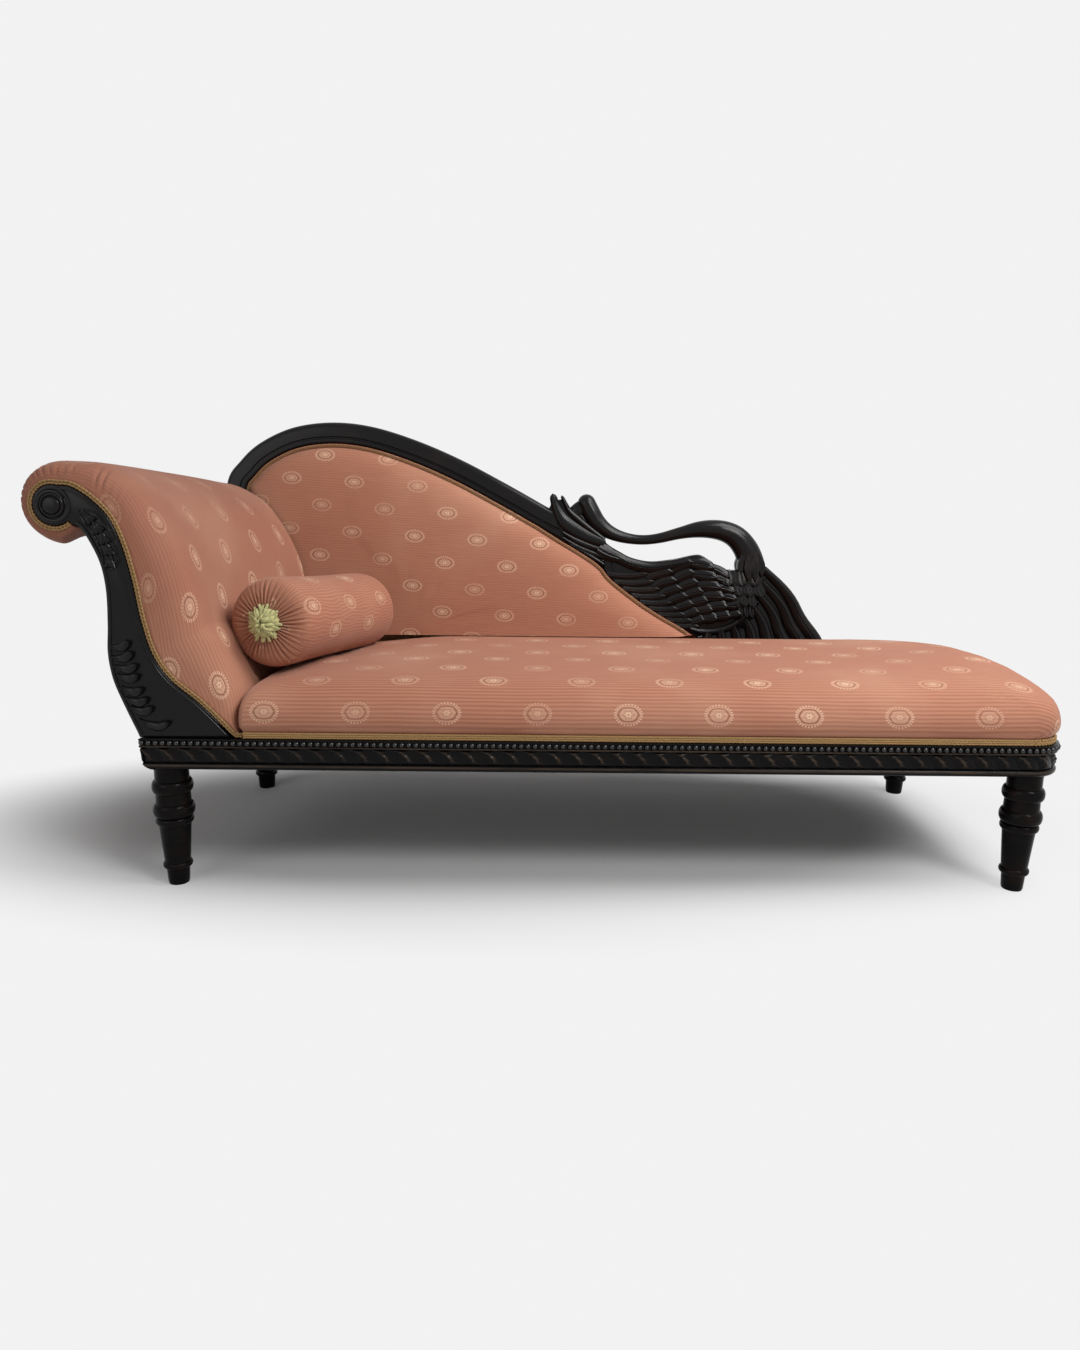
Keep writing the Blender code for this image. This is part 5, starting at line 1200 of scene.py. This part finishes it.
def makeSwan():
    look = swanLook
    inset, thick = look["inset"], backLines["thick"]
    swanEdge = flow(backLines["swanEdge"], 90)
    wingTop = flow(look["wingTop"], 80)
    breast = flow(look["breast"], 60)
    tailEdge = flow(look["tailEdge"], 60)
    faces = ((inset, -1.0), (thick - inset, 1.0))     # the same carving on the front and the back

    def board(outline):
        return gridMesh("board", plateGrid(outline, inset - 0.0005, thick - inset + 0.0005, 0.003))

    def done(name, node, meshes):
        for mesh in meshes:
            mesh.vertices.foreach_set("co", rakeBack(pointsOf(mesh).astype(float)).ravel())
        addWood(name, finishMesh(joined(name, meshes), 42.0), node)

    # Wing tip: a board, the end of the crest's moulding and five long feathers.
    bottom = swanEdge[swanEdge[:, 0] < look["joint"] - 0.001]
    foot = np.interp(look["joint"], swanEdge[:, 0], swanEdge[:, 1])
    outline = np.vstack([crestLine[-1:] + (0.0004, 0.0), look["tips"], [(look["joint"] - clear, 0.329),
                         (look["joint"] - clear, foot)], bottom[::-4], crestInside[-1:] + (0.0004, 0.0)])
    lines = np.stack([flow(feather[:-1], 44) for feather in look["primaries"]])
    wide = np.array([feather[-1] for feather in look["primaries"]])[:, None]
    s = np.linspace(0.0, 1.0, 44)
    shape = 0.72 + 0.28 * np.sin(np.pi * np.clip(s * 1.1, 0.0, 1.0))
    shape *= 1.0 - 0.22 * ease((s - 0.55) / 0.45)
    shape *= np.sqrt(np.clip(1.0 - (np.clip(s - 0.92, 0.0, 1.0) / 0.08) ** 2, 0.004, 1.0))
    lifts = np.array([0.0, 0.0006, 0.0012, 0.0024, 0.0008])[:, None] + 0.0010 * s
    section = np.array(crestLook["section"])
    share = section[:, :1] / backLines["crestWidth"]
    near = crestLine[-1] + (0.0004, 0.0) + (crestInside[-1] - crestLine[-1]) * share
    far = even(np.array(look["crestEnd"]), 101)[np.round(100 * share[:, 0]).astype(int)]
    t = np.linspace(0.0, 1.0, 6)[:, None, None]
    moulding = placed(near + (far - near) * t, section[:, 1])
    meshes = [board(outline), bladeMesh("moulding", moulding[None])]
    for face, sign in faces:
        primaries = blades(lines, wide * shape, lifts, 0.0062, face, sign, cut=0.0)
        meshes.append(bladeMesh("primaries", primaries))
    done("swan_wing_tip", "swan_wing", meshes)

    # Body: long feathers off the panel's edge, then rows of shorter ones, the wing's bone and the belly.
    edge = swanEdge[swanEdge[:, 0] > look["joint"] + 0.004]
    outline = np.vstack([wingTop[::2], breast[::2], edge[::-2], [(look["joint"], foot)]])
    meshes = [board(ringInset(even(outline, 160), 0.0012))]
    rows = [flow(row, 60) for row in look["rows"]]
    roots = even(edge, 90)[1:70]
    slats = bent(even(roots, 9), even(rows[0], 9) + (0.007, 0.0), -0.05, 14)
    slatWidth = 0.0082 * bladeTaper(14, 0.9, 0.80)
    slatLift = 0.0005 + 0.0022 * np.linspace(0.0, 1.0, 14)
    scales = []
    for first, second, count in zip(rows, rows[1:], look["rowCounts"]):
        a, b = even(first, count * 2 + 1)[1::2], even(second, count * 2 + 1)[1::2]
        spread = np.linalg.norm(np.diff(even(second, count + 1), axis=0), axis=1)
        line = bent(a - 0.10 * (b - a), b + 0.16 * (b - a), 0.06, 10)
        width = 0.57 * spread[:, None] * bladeTaper(10, 0.80, 0.66)
        scales.append((line, width, 0.0048 * np.linspace(0.0, 1.0, 10) ** 1.3))
    # The breast's scales hang in staggered tiers.
    tiers, many = look["breastTiers"], look["breastAcross"]
    a, b = (even(flow(line, 60), tiers) for line in look["breastLines"])
    t = (np.arange(many)[None] + 0.25 + 0.5 * (np.arange(tiers) % 2)[:, None]) / many
    spot = (a[:, None] + (b - a)[:, None] * t[..., None]).reshape(-1, 2)
    line = bent(spot + (-0.002, 0.010), spot + (0.003, -0.025), 0.0, 10)
    width = np.repeat(0.58 / many * np.linalg.norm(b - a, axis=1), many)[:, None] * bladeTaper(10, 0.80, 0.55)
    scales.append((line, width, 0.0052 * np.linspace(0.0, 1.0, 10) ** 1.2))
    # The wing's bone: a smooth band along its top, wide at the joint. The belly's rim is one more.
    top = even(wingTop[wingTop[:, 0] < 1.075], 60)
    bone = 0.0136 + 0.0095 * (1.0 - ease(np.linspace(0.0, 3.2, len(top))))
    middle = top + (beside(top, -1.0) - top) * (bone - 0.0002)[:, None]
    belly = flow(look["belly"], 40)
    bands = ((middle, bone, 0.0085, 0.0010), (belly, 0.0088, 0.0066, 0.0004))
    for face, sign in faces:
        meshes.append(bladeMesh("slats", blades(slats, slatWidth, slatLift, 0.0036, face, sign, bodySwell)))
        for line, width, lift in scales:
            meshes.append(bladeMesh("scales", blades(line, width, lift, 0.0056, face, sign, bodySwell)))
        for line, width, crown, lift in bands:
            taper = np.sin(np.pi * np.linspace(0.10, 0.90, len(line))) ** 0.25
            rib = blades(line[None], width * taper, lift, crown, face, sign, bodySwell)
            meshes.append(bladeMesh("band", rib))
    done("swan_breast", "swan_body", meshes)

    # Tail: a fan of long feathers from under the breast.
    left = backLines["swanEdge"][-1][0] - 0.030 + clear
    below = breast + (0.0008, -0.0008)
    outline = np.vstack([below[:1], tailEdge[1::2], [(left, clear), (left, 0.055),
                         (below[-1, 0] - 0.0015, 0.055)], below[:0:-2]])
    meshes = [board(outline)]
    roots = even(breast[:52] + (-0.006, 0.004), 8)
    outer = even(beside(tailEdge, -0.0125), 20)
    tips = even(flow([outer[-1]] + look["tailFoot"], 80), 8)
    # Each feather takes less of the edge's own bend than the one outside it.
    sway = outer - np.linspace(outer[0], outer[-1], 20)
    fan = bent(roots, tips, 0.0, 20) + sway[None] * np.linspace(1.0, 0.0, 8)[:, None, None]
    s = np.linspace(0.0, 1.0, 20)
    gapWide = np.linalg.norm(np.gradient(tips, axis=0), axis=1)[:, None]
    fanWidth = np.minimum(gapWide * (0.26 + 0.23 * s), 0.0205) * bladeTaper(20, 0.9, 0.90)
    fanLift = np.linspace(0.0, 0.0022, 8)[:, None] + 0.0004 * s
    for face, sign in faces:
        meshes.append(bladeMesh("fan", blades(fan, fanWidth, fanLift, 0.0085, face, sign)))
    done("swan_tail_fan", "swan_tail", meshes)

    # Neck: an oval tube from the head over its bend to the breast, with pointed feathers round its foot.
    table = flow(look["neck"], 150)
    ahead = (table[1, :2] - table[0, :2]) / np.linalg.norm(table[1, :2] - table[0, :2])
    angle = np.linspace(0.10, np.pi / 2, 14)[:-1, None]
    crown = np.hstack([table[0, :2] - ahead * table[0, 2] * np.cos(angle), table[0, 2] * np.sin(angle)])
    table = np.vstack([crown, table])
    path = placed(table[:, :2], thick / 2)
    size = table[:, 2]
    tube = tubes(path[None], size[None], np.minimum(size, look["neckDepth"])[None], 32)
    tube[..., 2] = np.maximum(tube[..., 2], railTop + 0.2608)
    bill = flow(look["bill"], 24)
    bill = tubes(placed(bill[:, :2], thick / 2)[None], bill[None, :, 2], 0.72 * bill[None, :, 2], 20)
    meshes = [bladeMesh("neck", tube), bladeMesh("bill", bill)]
    across = np.linspace(1.203, 1.250, 4)
    lines = bent(np.stack([across * 0.8 + 0.2420, np.full(4, 0.300)], axis=1),
                 np.stack([across, np.array([0.246, 0.236, 0.236, 0.246])], axis=1),
                 np.linspace(-0.06, 0.06, 4), 12)
    width = 0.0098 * bladeTaper(12, 0.5, 0.30)
    lift = 0.0150 - 0.0065 * (np.linspace(-1.0, 1.0, 4) ** 2)[:, None]
    lift = lift - 0.0025 * np.linspace(-0.6, 1.0, 12) ** 2
    for face, sign in faces:
        meshes.append(bladeMesh("collar", blades(lines, width, lift, 0.0030, face, sign)))
    done("swan_neck_head", "swan_neck", meshes)


makeCrest()
makeSwan()
print("crest and swan made")


# Braids

def cords(name, node, path, across, outward, offsets, radius, finish=braidGold, pitch=0.0070):
    # Twisted cords side by side: each section is a ring whose radius ripples round a turning angle.
    run = runOf(path)
    angle = np.linspace(0.0, 2 * np.pi, 8, endpoint=False)
    grids = []
    for k, offset in enumerate(offsets):
        hand = 1.0 if k % 2 else -1.0
        r = radius * (1.0 + 0.32 * np.sin(2 * np.pi * run[:, None] / pitch + 2 * hand * angle[None]))
        grids.append(path[:, None] + across[:, None] * (offset + r * np.cos(angle))[..., None]
                     + outward[:, None] * (r * np.sin(angle))[..., None])
    addPiece(name, finishMesh(bladeMesh(name, np.stack(grids)), 60.0), finish, (node,))


def frontView(line, depth):
    # A line in the front view with its sideways direction and the way towards the front.
    way = heading(line)
    across = np.stack([-way[:, 1], 0.0 * way[:, 0], way[:, 0]], axis=1)
    return placed(line, depth), across, np.broadcast_to([0.0, -1.0, 0.0], across.shape)


def makeBraids():
    line = beside(innerEdge, 0.0050)
    line = np.vstack([line[line[:, 1] > 0.008], [(0.1690, 0.0062), (0.1760, 0.0058), (0.1815, 0.0058)]])
    path, across, ahead = frontView(even(line, 640), headFront + 0.0022)
    cords("head_braid", "head_gimp", leanHead(path), across, ahead, (-0.0020, 0.0020), 0.0019, braidOld)
    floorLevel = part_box("back_gimp")[0].z - railTop - 0.006
    line = beside(panelEdge, -0.0050)
    path, across, ahead = frontView(even(line[line[:, 1] > floorLevel], 1200), -0.0022)
    cords("back_braid", "back_gimp", rakeBack(path), across, ahead, (-0.0012, 0.0012), 0.0013, braidDark)
    # The seat's braid: three cords, one above another, round the cover's foot.
    inset = np.array([seatLook["edgeInset"] - 0.0032])
    ring = seatRings(inset, np.ones(1), inset)[0]
    start = int(np.argmin(np.hypot(ring[:, 0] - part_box("seat_gimp")[0].x + 0.022, ring[:, 1] - frontFace)))
    ring = np.roll(ring, -start, axis=0)
    last = int(np.argmax((ring[:, 1] > 0.2) & (ring[:, 0] < footFace - 0.24)))
    ring = even(ring[:last + 1], 1600)
    way = heading(ring[:, :2])
    outward = np.stack([way[:, 1], -way[:, 0], 0.0 * way[:, 0]], axis=1)
    path = np.column_stack([ring[:, :2], np.full(len(ring), railTop + 0.0062)])
    up = np.broadcast_to([0.0, 0.0, 1.0], path.shape)
    cords("seat_braid", "seat_gimp", path, up, outward, (-0.0038, 0.0, 0.0038), 0.0021)


makeBraids()
print("braids made")


# Sheets: the outside covers and the lining below

coverLook = {"thick": 0.0024, "lift": 0.0020, "top": 0.340, "full": 0.0025, "backDepth": 0.0324,
             "backOut": 0.0148, "backFoot": 0.0277, "sag": 0.0035}


def thinShell(name, face, rear, cloth):
    # A sheet with its thickness: the face and the reversed rear, joined round by closing the columns.
    grid = np.concatenate([face, rear[:, ::-1]], axis=1)
    flat = np.concatenate([cloth, cloth[:, ::-1]], axis=1)
    return finishMesh(gridMesh(name, grid, cloth=flat), 50.0)


def makeCovers():
    look = coverLook
    # Outside of the head: the scroll's outer edge carried across the depth, a little fuller in the middle.
    line = even(beside(outerEdge, -look["lift"]), 240)
    line = even(line[(line[:, 1] < look["top"]) & (line[:, 1] > 0.0004)], 70)
    reach = scrollLook["thick"] + 0.0004
    across = np.linspace(headFront + reach, headBack - reach, 60)
    t, r = np.linspace(-1.0, 1.0, 60), np.linspace(-1.0, 1.0, 70)
    full = look["full"] * (1.0 - t[None] ** 4) * (1.0 - r[:, None] ** 4)
    way = beside(line, -1.0) - line
    faces = []
    for thick in (full + look["thick"], full):
        plan = line[:, None] + way[:, None] * thick[..., None]
        faces.append(leanHead(placed(plan, across)))
    run = runOf(line)
    cloth = np.stack(np.broadcast_arrays(run[:, None], across[None]), axis=-1)
    mesh = thinShell("head_outside", *faces, cloth)
    piece = addCover("head_outside", mesh, headCloth, "head_outside_cover")
    # Outside of the back: the panel's outline let out onto the frame, drawn flat with a slight swell.
    outline = beside(panelEdge, look["backOut"])
    outline = even(outline[outline[:, 1] > look["backFoot"]], 300)
    ring = closedFoot(outline, look["backFoot"], 80)
    centre = np.array([backPad["centre"], look["backFoot"] + 0.16])
    shrink = np.concatenate([[1.0, 1.0, 0.985, 0.94], np.linspace(0.86, 0.05, 10)])
    depth = look["backDepth"] + look["thick"] * np.array([0.0, 0.8] + [1.0] * 12)
    depth[3:] += look["full"] * ease(np.linspace(0.1, 1.0, 11))
    plan = centre + (ring - centre)[None] * shrink[:, None, None]
    mesh = gridMesh("back_outside", rakeBack(placed(plan, depth[:, None])), cloth=plan)
    piece = addCover("back_outside", finishMesh(mesh, 50.0), backCloth, "back_outside_cover")
    x, z = ring.T
    # Lining below the seat, sagging a little between its edges.
    low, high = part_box("dust_cover")
    x, y = np.linspace(low.x, high.x, 90), np.linspace(low.y, high.y, 40)
    sink = look["sag"] * np.outer(1.0 - np.linspace(-1.0, 1.0, 90) ** 6,
                                  1.0 - np.linspace(-1.0, 1.0, 40) ** 4)
    faces = [np.stack(np.broadcast_arrays(x[:, None], y[None], level - sink), axis=-1)
             for level in (low.z, high.z)]
    mesh = thinShell("lining_sheet", *faces, faces[0][..., :2])
    piece = addPiece("lining_sheet", mesh, liningCloth, ("dust_cover",))


makeCovers()
print("covers made")


# Rosettes on the bolster's ends

# tiers of a rosette: threads, reach and rise
tuftLook = {"tiers": [(34, 0.035, 0.004), (30, 0.030, 0.010), (22, 0.022, 0.015), (12, 0.012, 0.018)],
            "seed": 7}


def makeRosettes():
    # Tiers of thick cut threads: each thread is a short tapered tube that leaves the middle and droops.
    centre, along, side, above = bolsterFrame()
    for name, sign in (("front", -1.0), ("back", 1.0)):
        rng = np.random.default_rng(tuftLook["seed"])
        low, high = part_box("bolster_rosette_" + name)
        middle = np.array((low + high) / 2)
        out = sign * along
        parts = []
        for count, reach, rise in tuftLook["tiers"]:
            angle = np.linspace(0.0, 2 * np.pi, count, endpoint=False) + rng.uniform(-0.12, 0.12, count)
            length = reach * rng.uniform(0.82, 1.10, count)
            lift = rise * rng.uniform(0.7, 1.25, count)
            t = np.linspace(0.0, 1.0, 6)
            far = length[:, None] * (0.12 + 0.88 * t)
            lifted = -0.004 + lift[:, None] * np.sin(np.pi * np.clip(0.25 + 0.62 * t, 0.0, 1.0))
            swing = angle[:, None] + 0.25 * rng.uniform(-1.0, 1.0, count)[:, None] * t ** 2
            ray = np.cos(swing)[..., None] * side + np.sin(swing)[..., None] * above
            spin = -np.sin(swing)[..., None] * side + np.cos(swing)[..., None] * above
            path = middle + far[..., None] * ray + lifted[..., None] * out
            radius = (0.0019 + 0.0019 * t) * np.where(t > 0.95, 0.6, 1.0)
            turn = np.linspace(0.0, 2 * np.pi, 6, endpoint=False)
            parts.append(path[:, :, None] + radius[None, :, None, None]
                         * (np.cos(turn)[:, None] * spin[:, :, None] + np.sin(turn)[:, None] * out))
        mesh = finishMesh(bladeMesh("rosette", np.concatenate(parts)), 60.0)
        addPiece("fringe_rosette_" + name, mesh, tuftCotton, ("bolster_rosette_" + name,),
                 "bolster")


makeRosettes()
print("rosettes made")


# Camera, floor and light

cameraLook = {"place": (-0.0494, -1.8561, 0.714), "pitch": 11.34, "yaw": -0.58, "roll": 0.70, "focal": 880.0,
              "tall": 1350.0}
stageLook = {"floor": (0.70, 0.70, 0.70, 1.0), "back": 3.2, "bend": 1.6, "high": 6.0, "wide": 14.0,
             "near": -6.0, "glow": 0.888, "middle": (-0.10, 0.05), "shadow": (1.35, 0.62),
             "soft": (0.58, 1.08)}
lightLook = {"world": 0.15,
             "lamps": [("key", (1.9, -2.2, 2.7), 1.0, 54.0), ("fill", (-2.6, -3.0, 1.8), 2.4, 22.0),
                       ("top", (1.25, -0.35, 2.3), 1.3, 47.0)]}


def makeCamera():
    look = cameraLook
    pitch, yaw, roll = (math.radians(look[k]) for k in ("pitch", "yaw", "roll"))
    ahead = Vector((-math.sin(yaw) * math.cos(pitch), math.cos(yaw) * math.cos(pitch), -math.sin(pitch)))
    right = Vector((math.cos(yaw), math.sin(yaw), 0.0))
    up = right.cross(ahead)
    right2 = right * math.cos(roll) + up * math.sin(roll)
    up2 = up * math.cos(roll) - right * math.sin(roll)
    data = bpy.data.cameras.new("view")
    data.sensor_fit = 'AUTO'
    data.sensor_width = 36.0
    data.lens = look["focal"] / look["tall"] * 36.0
    camera = bpy.data.objects.new("view", data)
    turn = Matrix((right2, up2, -ahead)).transposed()
    camera.matrix_world = Matrix.Translation(look["place"]) @ turn.to_4x4()
    bpy.context.scene.collection.objects.link(camera)
    bpy.context.scene.camera = camera


def seenDirectly(tree):
    # 1 where the camera sees a surface, in a reflection or through glass too.
    rays = tree.nodes.new("ShaderNodeLightPath")
    return calc(tree, 'MAXIMUM', rays.outputs["Is Camera Ray"],
                calc(tree, 'MAXIMUM', rays.outputs["Is Glossy Ray"], rays.outputs["Is Transmission Ray"]))


def makeStage():
    # A floor that bends up into a backdrop: a profile in Y and Z carried along X.
    look = stageLook
    angle = np.linspace(0.0, np.pi / 2, 24)
    bendY = look["back"] + look["bend"] * np.sin(angle)
    bendZ = look["bend"] * (1.0 - np.cos(angle))
    profile = np.vstack([[look["near"], 0.0], np.stack([bendY, bendZ], axis=1),
                         [look["back"] + look["bend"], look["high"]]])
    xs = np.array([-look["wide"] / 2, look["wide"] / 2])
    grid = np.stack(np.broadcast_arrays(xs[None], profile[:, :1], profile[:, 1:]), axis=-1)
    mesh = gridMesh("studio_floor", grid, (False, False), around=False)
    mesh.shade_smooth()
    finish, tree, shader = newFinish("studio_paper")
    setInputs(shader, {"Base Color": look["floor"], "Roughness": 0.9})
    glow = tree.nodes.new("ShaderNodeEmission")
    glow.inputs["Color"].default_value = (look["glow"],) * 3 + (1.0,)
    seen = seenDirectly(tree)
    # The paper keeps its shadow near the object and fades to an even tone further off.
    parts = tree.nodes.new("ShaderNodeSeparateXYZ")
    tree.links.new(placeCoords(tree), parts.inputs["Vector"])
    away = []
    for axis, middle, size in zip(("X", "Y"), look["middle"], look["shadow"]):
        offset = calc(tree, 'SUBTRACT', parts.outputs[axis], middle)
        away.append(calc(tree, 'POWER', calc(tree, 'DIVIDE', offset, size), 2.0))
    share = ramp(tree, calc(tree, 'SQRT', calc(tree, 'ADD', *away)), *look["soft"])
    mix = tree.nodes.new("ShaderNodeMixShader")
    tree.links.new(calc(tree, 'MULTIPLY', seen, share), mix.inputs["Fac"])
    tree.links.new(shader.outputs["BSDF"], mix.inputs[1])
    tree.links.new(glow.outputs["Emission"], mix.inputs[2])
    tree.links.new(mix.outputs["Shader"], tree.nodes["Material Output"].inputs["Surface"])
    mesh.materials.append(finish)
    floor = bpy.data.objects.new("studio_floor", mesh)
    bpy.context.scene.collection.objects.link(floor)


def makeLight():
    look = lightLook
    world = bpy.data.worlds.new("studio")
    world.use_nodes = True
    tree = world.node_tree
    tree.nodes["Background"].inputs["Color"].default_value = (1.0, 1.0, 1.0, 1.0)
    extra = calc(tree, 'MULTIPLY', seenDirectly(tree), stageLook["glow"] - look["world"])
    tree.links.new(calc(tree, 'ADD', extra, look["world"]), tree.nodes["Background"].inputs["Strength"])
    bpy.context.scene.world = world
    for name, place, size, power in look["lamps"]:
        data = bpy.data.lights.new(name, 'AREA')
        data.size = size
        data.energy = power
        lamp = bpy.data.objects.new(name, data)
        aim = Vector((0.0, 0.0, 0.4)) - Vector(place)
        lamp.matrix_world = Matrix.Translation(place) @ aim.to_track_quat('-Z', 'Y').to_matrix().to_4x4()
        bpy.context.scene.collection.objects.link(lamp)


makeCamera()
makeStage()
makeLight()
bpy.context.scene.view_settings.view_transform = 'Standard'
print("stage set")
